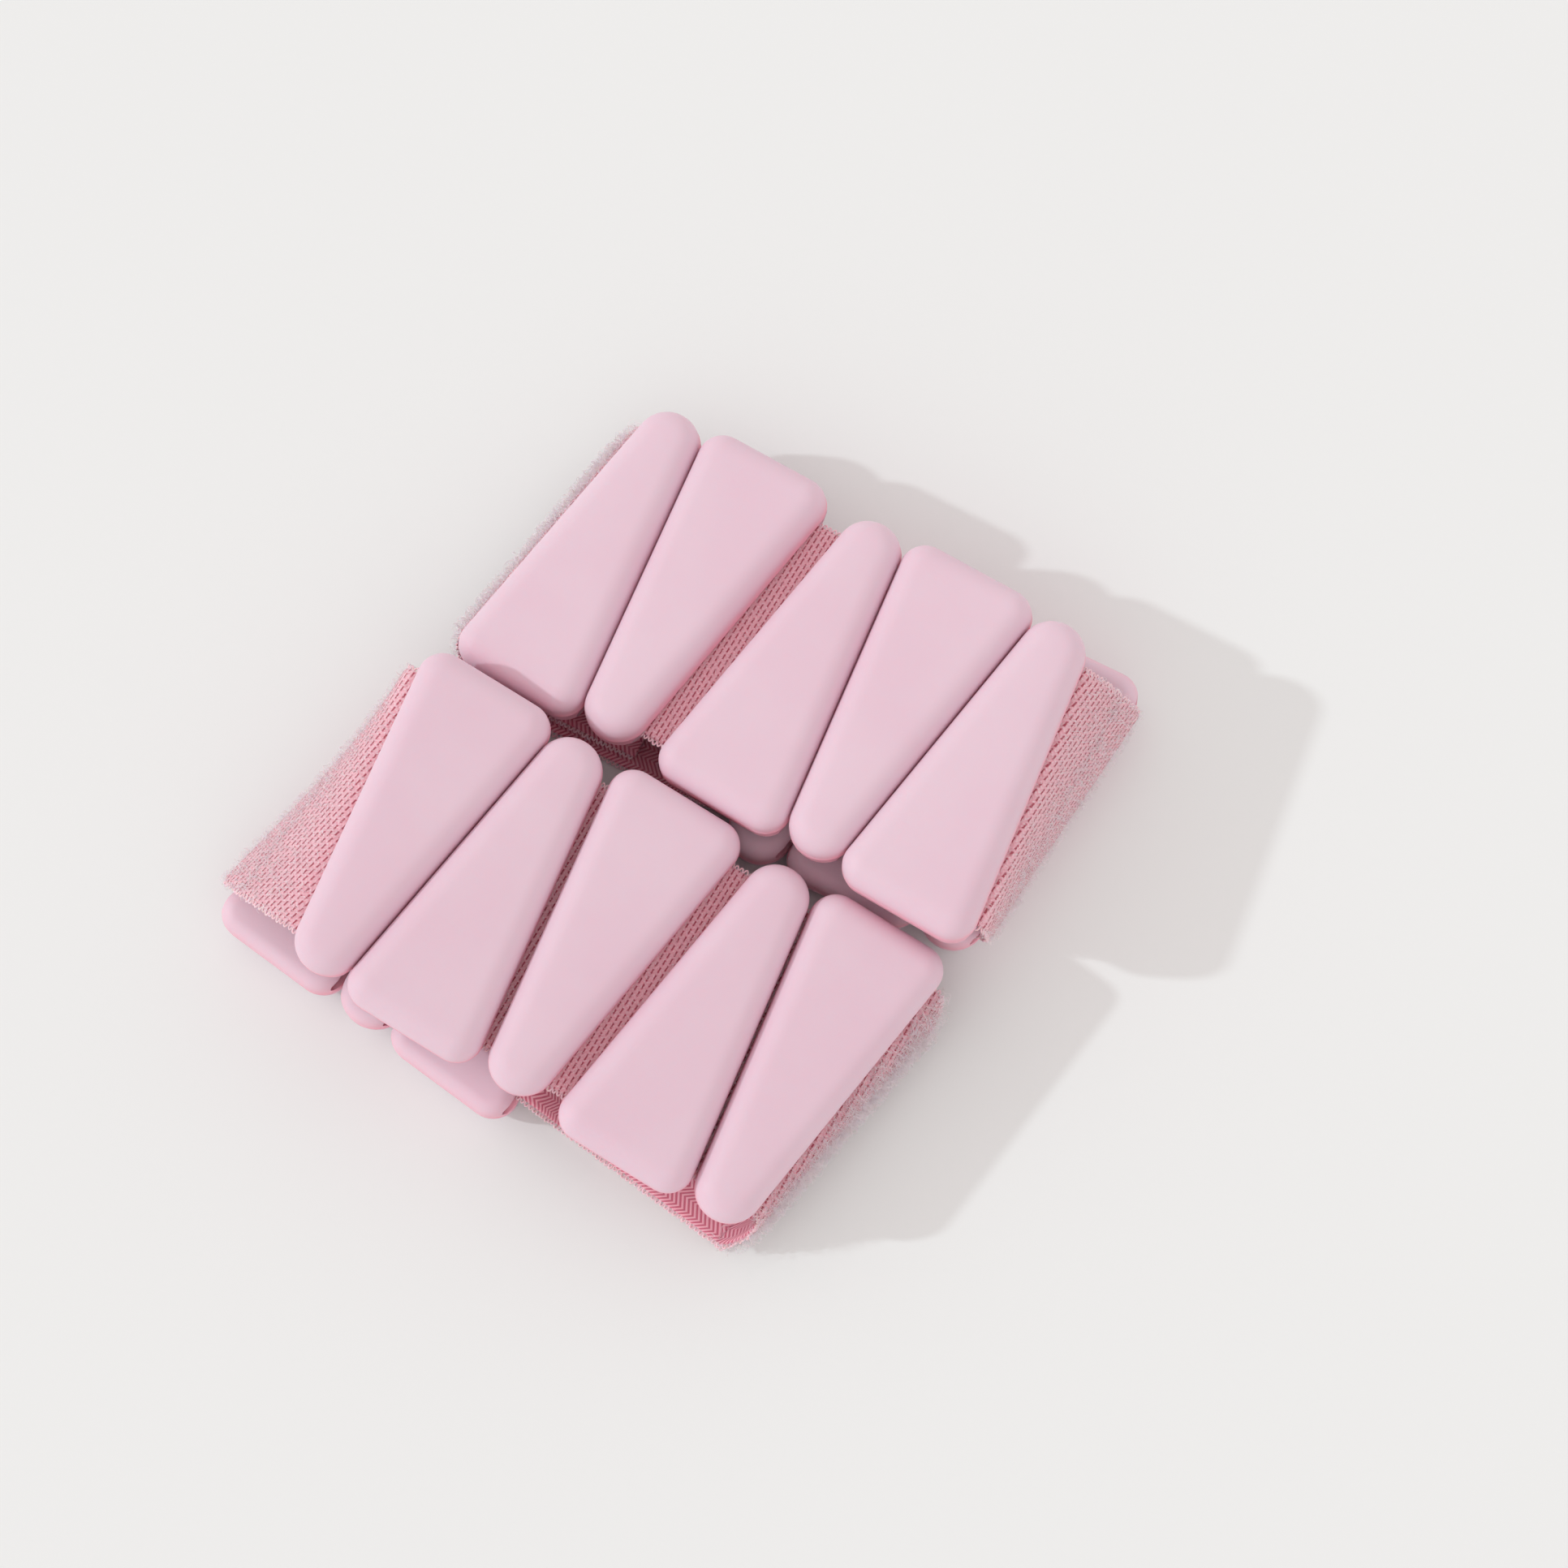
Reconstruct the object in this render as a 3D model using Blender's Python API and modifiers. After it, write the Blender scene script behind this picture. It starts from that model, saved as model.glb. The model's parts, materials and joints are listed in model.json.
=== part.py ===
"""A pair of wrist and ankle weight bands, laid flat side by side.

Each band is eight soft wedge weights threaded on one elastic strap. Five weights lie in the upper
row, the strap turns back at the bend, and three weights lie in the lower row, outer face down.
Band b is band a turned half round, with its own spacing. Metres, +Z up, origin on the floor
under the middle of the pair, +X along the rows.
"""
import math

import bmesh
import bpy
from mathutils import Matrix, Vector

MM = 0.001

# One wedge weight: wide end at -Y, outer face up, origin in the middle of its thickness
WEIGHT_LENGTH = 76 * MM
WIDE_WIDTH = 33.0 * MM
NARROW_WIDTH = 15.2 * MM
WIDE_CORNER = 5.9 * MM
NARROW_CORNER = 7.5 * MM
THICKNESS = 14 * MM
OUTER_ROUND = 5.4 * MM
INNER_ROUND = 4.0 * MM
ARC_STEP = math.radians(25)

# The strap's slot and the steel core's cavity inside a weight
STRAP_LEVEL = -3.3 * MM        # the strap's middle, measured from the middle of the thickness
SLOT_LENGTH = 70 * MM
SLOT_HEIGHT = 3.0 * MM
SLOT_ROUND = 1.3 * MM
CORE_INSET = 2.9 * MM
CORE_THICKNESS = 5.0 * MM
CORE_MIDDLE = 2.2 * MM
CORE_GAP = 0.3 * MM
PIN_HOLE_RADIUS = 1.2 * MM
PIN_HOLE_SPACING = 36 * MM
PIN_HOLE_DEPTH = 2.6 * MM

# The strap and its closure
STRAP_WIDTH = 63 * MM
STRAP_THICKNESS = 2.2 * MM
LINK_INSET = 0.5 * MM          # half the gap between two strap links at a bending line
MOUTH_GAP = 0.5 * MM
BEND_STEPS = 12
BEND_HINGE_OUT = 0.8 * MM      # from a mouth's link end to the line where the strap bends
STRAP_COLUMNS = 3
STRAP_EDGES = [STRAP_WIDTH * (i / STRAP_COLUMNS - 0.5) for i in range(STRAP_COLUMNS + 1)]
TURN_REACH = 4.0 * MM
TURN_TUCK = 2.0 * MM           # how far the tail's fold lies in from the mouth of weight 1
TAIL_LEVEL = 5.2 * MM
TAIL_END = -20 * MM
TAIL_HINGE_GAP = 0.8 * MM
TAB_LEVEL = 1.3 * MM
TAB_LANDING = -17 * MM
TAB_END = -58 * MM
RAMP_REACH = 7 * MM
PATCH_THICKNESS = 1.0 * MM
PATCH_LENGTH = 32 * MM
PATCH_INSET = 3 * MM
PATCH_GAP = 0.3 * MM

# How the bands lie
TOUCH_GAP = 0.25 * MM
STAGGER = 0.6 * MM             # a weight sits this far towards its wide end
ROW_SLOPE = math.radians(5)
TOP_HEIGHT = 28.8 * MM         # middle of weight 5 above the floor
PAIR_SHIFT = (4.25 * MM, 2.35 * MM, 0.0)   # brings the middle of the pair over the origin

BANDS = {
    "a": {
        "turn": 0.0,
        "top": (51.4 * MM, 39.4 * MM),
        "gaps": {2: 6.2 * MM},                       # free strap after this weight number
        "low": (59.8 * MM, 40.0 * MM),
        "low_yaw": math.radians(4.6),
        "low_shift": {6: 0.0, 7: 0.0, 8: -2.0 * MM},
        "tail_shift": 2.5 * MM,
        "bend_reach": (4.5 * MM, 6.5 * MM),          # at the band's -Y and +Y edges
    },
    "b": {
        "turn": math.pi,
        "top": (51.9 * MM, 39.3 * MM),
        "gaps": {1: 0.6 * MM, 2: 4.4 * MM, 3: 1.8 * MM},
        "low": (62.6 * MM, 39.4 * MM),
        "low_yaw": math.radians(-4.6),
        "low_shift": {6: 1.8 * MM, 7: 2.4 * MM, 8: 1.4 * MM},
        "tail_shift": 0.0,
        "bend_reach": (7.0 * MM, 10.0 * MM),
    },
}

COLLECTION = "wrist_weight_pair"
CUTTERS = "cutters"


def clear_scene():
    for obj in list(bpy.data.objects):
        bpy.data.objects.remove(obj, do_unlink=True)


def make_collection(name):
    collection = bpy.data.collections.new(name)
    bpy.context.scene.collection.children.link(collection)
    return collection


def make_material(name, colour, roughness, metallic=0.0):
    material = bpy.data.materials.new(name)
    material.use_nodes = True
    shader = material.node_tree.nodes["Principled BSDF"]
    shader.inputs["Base Color"].default_value = (*colour, 1.0)
    shader.inputs["Roughness"].default_value = roughness
    shader.inputs["Metallic"].default_value = metallic
    return material


def wedge_taper():
    """Angle of a flank to the weight's length, and half the width at mid length."""
    wide = Vector((WIDE_WIDTH / 2 - WIDE_CORNER, -WEIGHT_LENGTH / 2 + WIDE_CORNER))
    narrow = Vector((NARROW_WIDTH / 2 - NARROW_CORNER, WEIGHT_LENGTH / 2 - NARROW_CORNER))
    run = narrow - wide
    lean = math.atan2(-run.x, run.y)
    angle = lean - math.asin((NARROW_CORNER - WIDE_CORNER) / run.length)
    half = (wide.x * math.cos(angle) + wide.y * math.sin(angle) + WIDE_CORNER) / math.cos(angle)
    return angle, half


TAPER, HALF_WIDTH = wedge_taper()


def arc(centre, radius, start, end):
    steps = max(2, math.ceil((end - start) / ARC_STEP))
    angles = [start + (end - start) * i / steps for i in range(steps + 1)]
    return [(centre[0] + radius * math.cos(a), centre[1] + radius * math.sin(a)) for a in angles]


def wedge_outline(inset=0.0):
    """Rounded trapezoid, anticlockwise, moved in by inset all round."""
    wide = (WIDE_WIDTH / 2 - WIDE_CORNER, -WEIGHT_LENGTH / 2 + WIDE_CORNER)
    narrow = (NARROW_WIDTH / 2 - NARROW_CORNER, WEIGHT_LENGTH / 2 - NARROW_CORNER)
    wide_radius = WIDE_CORNER - inset
    narrow_radius = NARROW_CORNER - inset
    quarter = math.pi / 2
    points = arc(wide, wide_radius, -quarter, TAPER)
    points += arc(narrow, narrow_radius, TAPER, quarter)
    points += arc((-narrow[0], narrow[1]), narrow_radius, quarter, math.pi - TAPER)
    points += arc((-wide[0], wide[1]), wide_radius, math.pi - TAPER, 3 * quarter)
    return points


def object_from_bmesh(name, mesh_builder, collection):
    mesh = bpy.data.meshes.new(name)
    mesh_builder.to_mesh(mesh)
    mesh_builder.free()
    obj = bpy.data.objects.new(name, mesh)
    collection.objects.link(obj)
    return obj


def prism(name, outline, thickness, middle, collection):
    """A flat outline as a filled curve, extruded and made a closed mesh."""
    curve = bpy.data.curves.new(name, "CURVE")
    curve.dimensions = "2D"
    curve.fill_mode = "BOTH"
    curve.extrude = thickness / 2
    spline = curve.splines.new("POLY")
    spline.points.add(len(outline) - 1)
    for point, (x, y) in zip(spline.points, outline):
        point.co = (x, y, 0, 1)
    spline.use_cyclic_u = True
    source = bpy.data.objects.new(name, curve)
    collection.objects.link(source)
    bpy.context.view_layer.update()
    evaluated = source.evaluated_get(bpy.context.evaluated_depsgraph_get())
    mesh = bpy.data.meshes.new_from_object(evaluated)
    bpy.data.objects.remove(source, do_unlink=True)
    builder = bmesh.new()
    builder.from_mesh(mesh)
    bmesh.ops.remove_doubles(builder, verts=builder.verts, dist=0.01 * MM)
    bmesh.ops.dissolve_limit(builder, angle_limit=0.01, verts=builder.verts, edges=builder.edges)
    bmesh.ops.translate(builder, verts=builder.verts, vec=(0, 0, middle))
    bmesh.ops.recalc_face_normals(builder, faces=builder.faces)
    bpy.data.meshes.remove(mesh)
    return object_from_bmesh(name, builder, collection)


def round_rim(obj, upper, radius, segments):
    """Rounds the rim of the upper or the lower face."""
    builder = bmesh.new()
    builder.from_mesh(obj.data)
    side = 1 if upper else -1
    level = max(side * v.co.z for v in builder.verts)
    rim = [e for e in builder.edges if all(abs(side * v.co.z - level) < 0.01 * MM for v in e.verts)]
    bmesh.ops.bevel(builder, geom=rim, offset=radius, offset_type="OFFSET", segments=segments,
                    profile=0.5, affect="EDGES", clamp_overlap=False)
    builder.to_mesh(obj.data)
    builder.free()


def as_cutter(obj):
    obj.hide_render = True
    obj.display_type = "WIRE"
    return obj


def slot_cutter(collection):
    builder = bmesh.new()
    size = (2 * WIDE_WIDTH, SLOT_LENGTH, SLOT_HEIGHT)
    bmesh.ops.create_cube(builder, size=1.0, matrix=Matrix.Diagonal((*size, 1.0)))
    along = [e for e in builder.edges if abs(e.verts[0].co.x - e.verts[1].co.x) > WIDE_WIDTH]
    bmesh.ops.bevel(builder, geom=along, offset=SLOT_ROUND, segments=2, profile=0.5, affect="EDGES")
    bmesh.ops.translate(builder, verts=builder.verts, vec=(0, 0, STRAP_LEVEL))
    return as_cutter(object_from_bmesh("slot_cutter", builder, collection))


def cavity_cutter(collection):
    outline = wedge_outline(CORE_INSET - CORE_GAP)
    thickness = CORE_THICKNESS + 2 * CORE_GAP
    return as_cutter(prism("cavity_cutter", outline, thickness, CORE_MIDDLE, collection))


def pin_cutters(collection):
    """The two moulding pins that hold the core leave holes from the slot into the cavity."""
    cutters = []
    for side in (-1, 1):
        bpy.ops.mesh.primitive_cylinder_add(vertices=8, radius=PIN_HOLE_RADIUS, depth=PIN_HOLE_DEPTH)
        pin = bpy.context.object
        pin.name = f"pin_cutter_{'near' if side < 0 else 'far'}"
        pin.location = (0, side * PIN_HOLE_SPACING / 2, STRAP_LEVEL + SLOT_HEIGHT / 2 + 0.6 * MM)
        for holder in list(pin.users_collection):
            holder.objects.unlink(pin)
        collection.objects.link(pin)
        cutters.append(as_cutter(pin))
    return cutters


def sleeve_mesh(cutters_collection):
    """The silicone sleeve: a pillow with the strap's slot and the core's cavity cut out."""
    body = prism("sleeve_body", wedge_outline(), THICKNESS, 0, cutters_collection)
    round_rim(body, True, OUTER_ROUND, 4)
    round_rim(body, False, INNER_ROUND, 3)
    cutters = [slot_cutter(cutters_collection), cavity_cutter(cutters_collection)]
    cutters += pin_cutters(cutters_collection)
    for cutter in cutters:
        cut = body.modifiers.new(cutter.name, "BOOLEAN")
        cut.operation = "DIFFERENCE"
        cut.solver = "EXACT"
        cut.object = cutter
    bpy.context.view_layer.update()
    evaluated = body.evaluated_get(bpy.context.evaluated_depsgraph_get())
    mesh = bpy.data.meshes.new_from_object(evaluated)
    mesh.name = "sleeve"
    bpy.data.objects.remove(body, do_unlink=True)
    mesh.shade_smooth()
    mesh.set_sharp_from_angle(angle=math.radians(40))
    return mesh


def core_mesh(cutters_collection):
    body = prism("core_body", wedge_outline(CORE_INSET), CORE_THICKNESS, CORE_MIDDLE, cutters_collection)
    mesh = body.data
    mesh.name = "core"
    bpy.data.objects.remove(body, do_unlink=True)
    return mesh


def wide_side(number, upper):
    """-1 where the weight's wide end is at the row's -Y, +1 where it is at +Y."""
    odd = number % 2 == 1
    return -1 if odd == upper else 1


def weight_shifts(band, numbers, upper):
    if upper:
        return {n: STAGGER * wide_side(n, True) for n in numbers}
    return {n: -band["low_shift"][n] + STAGGER * wide_side(n, False) for n in numbers}


def stations(band, numbers, upper):
    """Places of the weights along their row, from the bend to the left, with their sideways shifts."""
    shifts = weight_shifts(band, numbers, upper)
    places = {numbers[0]: 0.0}
    for right, left in zip(numbers, numbers[1:]):
        lean = wide_side(left, upper) * math.tan(TAPER)
        free = band["gaps"].get(left, 0.0) if upper else 0.0
        pitch = 2 * HALF_WIDTH - lean * (shifts[left] - shifts[right]) + TOUCH_GAP + free
        places[left] = places[right] - pitch
    return places, shifts


def flank(place, shift, wide, y, side):
    """x of a weight's right (side 1) or left (side -1) flank at y."""
    return place + side * (HALF_WIDTH + wide * math.tan(TAPER) * (y - shift))


def upper_frame(band):
    """From the upper row's own axes, outer faces up, to the band's. Its origin is weight 5."""
    x, y = band["top"]
    return Matrix.Translation((x, y, TOP_HEIGHT)) @ Matrix.Rotation(-ROW_SLOPE, 4, "Y")


def lower_frame(band):
    """From the lower row's own axes, outer faces down, to the band's. Its origin is weight 6."""
    x, y = band["low"]
    lie = Matrix.Rotation(band["low_yaw"], 4, "Z") @ Matrix.Rotation(math.pi, 4, "X")
    return Matrix.Translation((x, y, THICKNESS / 2)) @ lie


def turn_rows(starts, start_way, ends, end_way, reaches):
    """Rows of points round a turn, on one cubic curve from each start point to its end point."""
    rows = []
    for step in range(BEND_STEPS + 1):
        t = step / BEND_STEPS
        s = 1 - t
        row = []
        for start, end, reach in zip(starts, ends, reaches):
            first = start + reach * start_way
            second = end + reach * end_way
            row.append(s**3 * start + 3 * s * s * t * first + 3 * s * t * t * second + t**3 * end)
        rows.append(row)
    return rows


class Band:
    """One band. Its shapes are worked out in its own axes and turned into place at the end."""

    def __init__(self, key, meshes, materials, collection):
        self.key = key
        self.plan = BANDS[key]
        self.meshes = meshes
        self.materials = materials
        self.collection = collection
        self.turn = Matrix.Translation(PAIR_SHIFT) @ Matrix.Rotation(self.plan["turn"], 4, "Z")
        self.upper = upper_frame(self.plan)
        self.lower = lower_frame(self.plan)
        self.upper_places, self.upper_shifts = stations(self.plan, [5, 4, 3, 2, 1], True)
        self.lower_places, self.lower_shifts = stations(self.plan, [6, 7, 8], False)
        self.joints = {}

    def row(self, number):
        if number <= 5:
            return self.upper, self.upper_places, self.upper_shifts, True
        return self.lower, self.lower_places, self.lower_shifts, False

    def joint(self, name, place, axis, parent=None):
        """An empty on the joint, its +Y along the joint's axis."""
        empty = bpy.data.objects.new(f"{self.key}_{name}", None)
        empty.empty_display_size = 10 * MM
        self.collection.objects.link(empty)
        if parent:
            empty.parent = self.joints[parent]
            empty.matrix_parent_inverse = self.joints[parent].matrix_world.inverted()
        aim = axis.normalized().to_track_quat("Y", "Z").to_matrix().to_4x4()
        empty.matrix_basis = self.turn @ Matrix.Translation(place) @ aim
        bpy.context.view_layer.update()
        self.joints[name] = empty

    def attach(self, obj, joint):
        if joint:
            obj.parent = self.joints[joint]
            obj.matrix_parent_inverse = self.joints[joint].matrix_world.inverted()

    def weight(self, number, joint):
        frame, places, shifts, upper = self.row(number)
        facing = Matrix.Rotation(0 if wide_side(number, upper) < 0 else math.pi, 4, "Z")
        place = Matrix.Translation((places[number], shifts[number], 0))
        for part in ("sleeve", "core"):
            obj = bpy.data.objects.new(f"{self.key}_{part}_{number}", self.meshes[part])
            self.collection.objects.link(obj)
            obj.matrix_basis = self.turn @ frame @ place @ facing
            self.attach(obj, joint)

    def strip(self, part, rows, thickness, material, joint):
        """A strip of faces through rows of points, given its thickness about its middle."""
        builder = bmesh.new()
        grid = [[builder.verts.new(self.turn @ point) for point in row] for row in rows]
        for low, high in zip(grid, grid[1:]):
            for i in range(len(low) - 1):
                builder.faces.new((low[i], high[i], high[i + 1], low[i + 1]))
        obj = object_from_bmesh(f"{self.key}_{part}", builder, self.collection)
        solid = obj.modifiers.new("thickness", "SOLIDIFY")
        solid.thickness = thickness
        solid.offset = 0
        solid.use_even_offset = True
        obj.data.materials.append(self.materials[material])
        self.attach(obj, joint)

    def link_end(self, number, side, y):
        """x of a strap link's end at y, in its row's frame: half way to the neighbour."""
        _, places, shifts, upper = self.row(number)
        edge = flank(places[number], shifts[number], wide_side(number, upper), y, side)
        neighbour = number + side if upper else number - side
        if neighbour not in places:
            return edge + side * MOUTH_GAP
        other = flank(places[neighbour], shifts[neighbour], wide_side(neighbour, upper), y, -side)
        return (edge + other) / 2 - side * LINK_INSET

    def link_row(self, number, side):
        """Points along one end of a strap link, from the band's -Y to its +Y."""
        frame, _, _, upper = self.row(number)
        flip = 1 if upper else -1
        return [frame @ Vector((self.link_end(number, side, flip * edge), flip * edge, STRAP_LEVEL))
                for edge in STRAP_EDGES]

    def link(self, number, joint):
        rows = [self.link_row(number, -1), self.link_row(number, 1)]
        self.strip(f"strap_{number}", rows, STRAP_THICKNESS, "strap", joint)

    def flex_joint(self, name, right, left, parent):
        """Where the strap bends between two neighbours, along the line between their flanks."""
        frame, places, shifts, upper = self.row(right)
        wide = wide_side(left, upper)
        x = (flank(places[left], shifts[left], wide, 0, 1)
             + flank(places[right], shifts[right], -wide, 0, -1)) / 2
        way = frame.to_3x3() @ Vector((wide * math.sin(TAPER), math.cos(TAPER), 0))
        if way.y < 0:
            way = -way
        self.joint(name, frame @ Vector((x, 0, STRAP_LEVEL)), way, parent)

    def low_point(self, x, across, level, shift=0.0):
        """A point on the lower strap's line, at x along the band and across from its middle."""
        x_low, y_low = self.plan["low"]
        yaw = self.plan["low_yaw"]
        along = Vector((math.cos(yaw), math.sin(yaw), 0))
        side = Vector((-math.sin(yaw), math.cos(yaw), 0))
        run = (x - x_low) / math.cos(yaw)
        return Vector((x_low, y_low + shift, level)) + run * along + across * side

    def low_row(self, x, width, level, shift=0.0):
        scale = width / STRAP_WIDTH
        return [self.low_point(x, edge * scale, level, shift) for edge in STRAP_EDGES]

    def edge_joint(self, name, row, out, parent=None):
        """A hinge along a row of strap points, moved by the vector out."""
        self.joint(name, (row[0] + row[-1]) / 2 + out, row[-1] - row[0], parent)

    def bend_joints(self):
        """The strap bends where it leaves weight 6 and where it enters weight 5."""
        out = Vector((BEND_HINGE_OUT, 0, 0))
        self.edge_joint("fold", self.link_row(6, 1), self.lower.to_3x3() @ out)
        self.edge_joint("fold_top", self.link_row(5, 1), self.upper.to_3x3() @ out, "fold")

    def bend(self):
        """The strap's turn from the lower row up into weight 5."""
        low_way = self.lower.to_3x3() @ Vector((1, 0, 0))
        top_way = self.upper.to_3x3() @ Vector((1, 0, 0))
        near, far = self.plan["bend_reach"]
        reaches = [near + (far - near) * i / STRAP_COLUMNS for i in range(STRAP_COLUMNS + 1)]
        rows = turn_rows(self.link_row(6, 1), low_way, self.link_row(5, 1), top_way, reaches)
        self.strip("strap_bend", rows[2:-2], STRAP_THICKNESS, "strap", "fold")

    def tail_row(self):
        """The line where the tail turns in under weight 1."""
        starts = self.link_row(1, -1)
        shift = self.plan["tail_shift"]
        return [self.low_point(start.x + TURN_TUCK, edge, TAIL_LEVEL, shift)
                for start, edge in zip(starts, STRAP_EDGES)]

    def turn_and_tail(self, turn_joint, tail_joint):
        top_way = self.upper.to_3x3() @ Vector((-1, 0, 0))
        low_way = self.low_point(-1, 0, 0) - self.low_point(0, 0, 0)
        ends = self.tail_row()
        reaches = [TURN_REACH] * len(ends)
        rows = turn_rows(self.link_row(1, -1), top_way, ends, low_way.normalized(), reaches)
        self.strip("strap_turn", rows[1:-1], STRAP_THICKNESS, "strap", turn_joint)
        inward = -low_way.normalized() * TAIL_HINGE_GAP
        first = [point + inward for point in ends]
        last = self.low_row(TAIL_END, STRAP_WIDTH, TAIL_LEVEL, self.plan["tail_shift"])
        self.strip("strap_tail", [first, last], STRAP_THICKNESS, "strap", tail_joint)

    def hook_tab(self, joint):
        """The strap's other end, down from weight 8 to the floor, with the hook patch on it."""
        along = (self.low_point(1, 0, 0) - self.low_point(0, 0, 0)).normalized()
        landing = self.low_row(TAB_LANDING, STRAP_WIDTH, TAB_LEVEL)
        reaches = [RAMP_REACH] * len(landing)
        rows = turn_rows(self.link_row(8, -1), -along, landing, along, reaches)
        rows.append(self.low_row(TAB_END, STRAP_WIDTH, TAB_LEVEL))
        self.strip("hook_tab", rows[1:], STRAP_THICKNESS, "strap", joint)
        width = STRAP_WIDTH - 2 * PATCH_INSET
        level = TAB_LEVEL + (STRAP_THICKNESS + PATCH_THICKNESS) / 2 + PATCH_GAP
        patch = [self.low_row(TAB_END + PATCH_INSET + run, width, level) for run in (0, PATCH_LENGTH)]
        self.strip("hook_patch", patch, PATCH_THICKNESS, "hook", joint)

    def build(self):
        self.bend_joints()
        self.flex_joint("flex_4", 5, 4, "fold_top")
        self.flex_joint("flex_3", 4, 3, "flex_4")
        self.flex_joint("flex_2", 3, 2, "flex_3")
        self.flex_joint("flex_1", 2, 1, "flex_2")
        self.edge_joint("tail_peel", self.tail_row(), Vector((0, 0, 0)), "flex_1")
        self.flex_joint("flex_7", 6, 7, None)
        self.flex_joint("flex_8", 7, 8, "flex_7")
        carriers = {1: "flex_1", 2: "flex_2", 3: "flex_3", 4: "flex_4", 5: "fold_top",
                    6: None, 7: "flex_7", 8: "flex_8"}
        for number, carrier in carriers.items():
            self.weight(number, carrier)
            self.link(number, carrier)
        self.bend()
        self.turn_and_tail("flex_1", "tail_peel")
        self.hook_tab("flex_8")


def build():
    clear_scene()
    parts = make_collection(COLLECTION)
    cutters = make_collection(CUTTERS)
    materials = {
        "silicone": make_material("pink_silicone", (0.72, 0.46, 0.58), 0.55),
        "steel": make_material("steel_core", (0.45, 0.45, 0.47), 0.35, 1.0),
        "strap": make_material("pink_elastic", (0.68, 0.30, 0.40), 0.9),
        "hook": make_material("hook_patch", (0.60, 0.26, 0.36), 0.8),
    }
    meshes = {"sleeve": sleeve_mesh(cutters), "core": core_mesh(cutters)}
    meshes["sleeve"].materials.append(materials["silicone"])
    meshes["core"].materials.append(materials["steel"])
    for key in BANDS:
        Band(key, meshes, materials, parts).build()


build()
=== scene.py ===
import json
import math

import bmesh
import bpy
import numpy as np
from mathutils import Matrix, Vector


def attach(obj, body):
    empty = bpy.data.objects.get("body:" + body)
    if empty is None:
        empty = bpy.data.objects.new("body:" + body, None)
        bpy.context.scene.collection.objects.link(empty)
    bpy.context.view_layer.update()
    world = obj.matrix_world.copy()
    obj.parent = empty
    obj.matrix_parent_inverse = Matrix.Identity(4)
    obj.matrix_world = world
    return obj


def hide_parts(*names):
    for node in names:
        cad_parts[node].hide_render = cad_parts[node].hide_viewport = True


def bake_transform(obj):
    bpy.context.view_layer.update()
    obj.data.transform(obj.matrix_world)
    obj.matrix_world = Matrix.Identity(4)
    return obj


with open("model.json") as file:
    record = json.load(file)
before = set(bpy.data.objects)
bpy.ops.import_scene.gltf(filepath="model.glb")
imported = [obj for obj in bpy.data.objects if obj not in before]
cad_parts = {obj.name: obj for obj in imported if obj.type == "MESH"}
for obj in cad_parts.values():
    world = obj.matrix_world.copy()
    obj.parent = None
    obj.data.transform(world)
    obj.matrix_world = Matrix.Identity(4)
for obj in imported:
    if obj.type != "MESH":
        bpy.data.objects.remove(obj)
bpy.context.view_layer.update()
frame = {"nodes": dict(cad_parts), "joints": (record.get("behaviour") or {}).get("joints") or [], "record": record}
mm = 0.001
bands = ("a", "b")
upperRow = (5, 4, 3, 2, 1)
lowerRow = (6, 7, 8)


def nodePoints(name):
    points = np.array([v.co for v in frame["nodes"][name].data.vertices])
    return np.unique(np.round(points, 5), axis=0)


def weightPlace(band, number):                           # X across the weight, +Y to its narrow end, +Z out
    points = nodePoints(f"{band}_core_{number}")
    middle = points.mean(0)
    axes = np.linalg.eigh(np.cov((points - middle).T))[1]
    thick, across, along = axes[:, 0], axes[:, 1], axes[:, 2]
    if (middle - nodePoints(f"{band}_strap_{number}").mean(0)) @ thick < 0:
        thick = -thick
    reach = (points - middle) @ along
    spread = np.abs((points - middle) @ across)
    if spread[reach > 0].mean() > spread[reach < 0].mean():
        along = -along
    across = np.cross(along, thick)
    local = (points - middle) @ np.array([across, along, thick]).T
    centre = (local.min(0) + local.max(0)) / 2
    centre[2] -= sleeve["coreMiddle"]
    origin = middle + centre[0] * across + centre[1] * along + centre[2] * thick
    place = Matrix.Identity(4)
    for axis, vector in enumerate((across, along, thick)):
        place.col[axis] = (*vector, 0)
    place.translation = origin
    return place


def bodyWith(node):
    return next(body for body, nodes in frame["record"]["behaviour"]["bodies"].items() if node in nodes)


def jointOf(name):
    joint = next(j for j in frame["joints"] if j["name"] == name)
    return Vector(joint["pos_m"]), Vector(joint["axis"]).normalized()


def meshObject(name, vertices, faces, material=None, smooth=True):
    mesh = bpy.data.meshes.new(name)
    mesh.from_pydata([tuple(v) for v in vertices], [], faces)
    mesh.update()
    obj = bpy.data.objects.new(name, mesh)
    bpy.context.scene.collection.objects.link(obj)
    if material:
        mesh.materials.append(material)
    if smooth:
        mesh.shade_smooth()
    return obj


def evaluatedMesh(obj, name):
    bpy.context.view_layer.update()
    depsgraph = bpy.context.evaluated_depsgraph_get()
    mesh = bpy.data.meshes.new_from_object(obj.evaluated_get(depsgraph))
    mesh.name = name
    return mesh


def dropObject(obj):
    bpy.data.objects.remove(obj, do_unlink=True)


def pointFacesOut(obj, mergeDistance=0.0):
    work = bmesh.new()
    work.from_mesh(obj.data)
    if mergeDistance:
        bmesh.ops.remove_doubles(work, verts=work.verts, dist=mergeDistance)
    bmesh.ops.recalc_face_normals(work, faces=work.faces)
    work.to_mesh(obj.data)
    work.free()


def linear(red, green, blue):                             # a screen colour, 0 to 255, as linear light
    return tuple(((c / 255 + 0.055) / 1.055) ** 2.4 if c > 10 else c / 255 / 12.92 for c in (red, green, blue))


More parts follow.
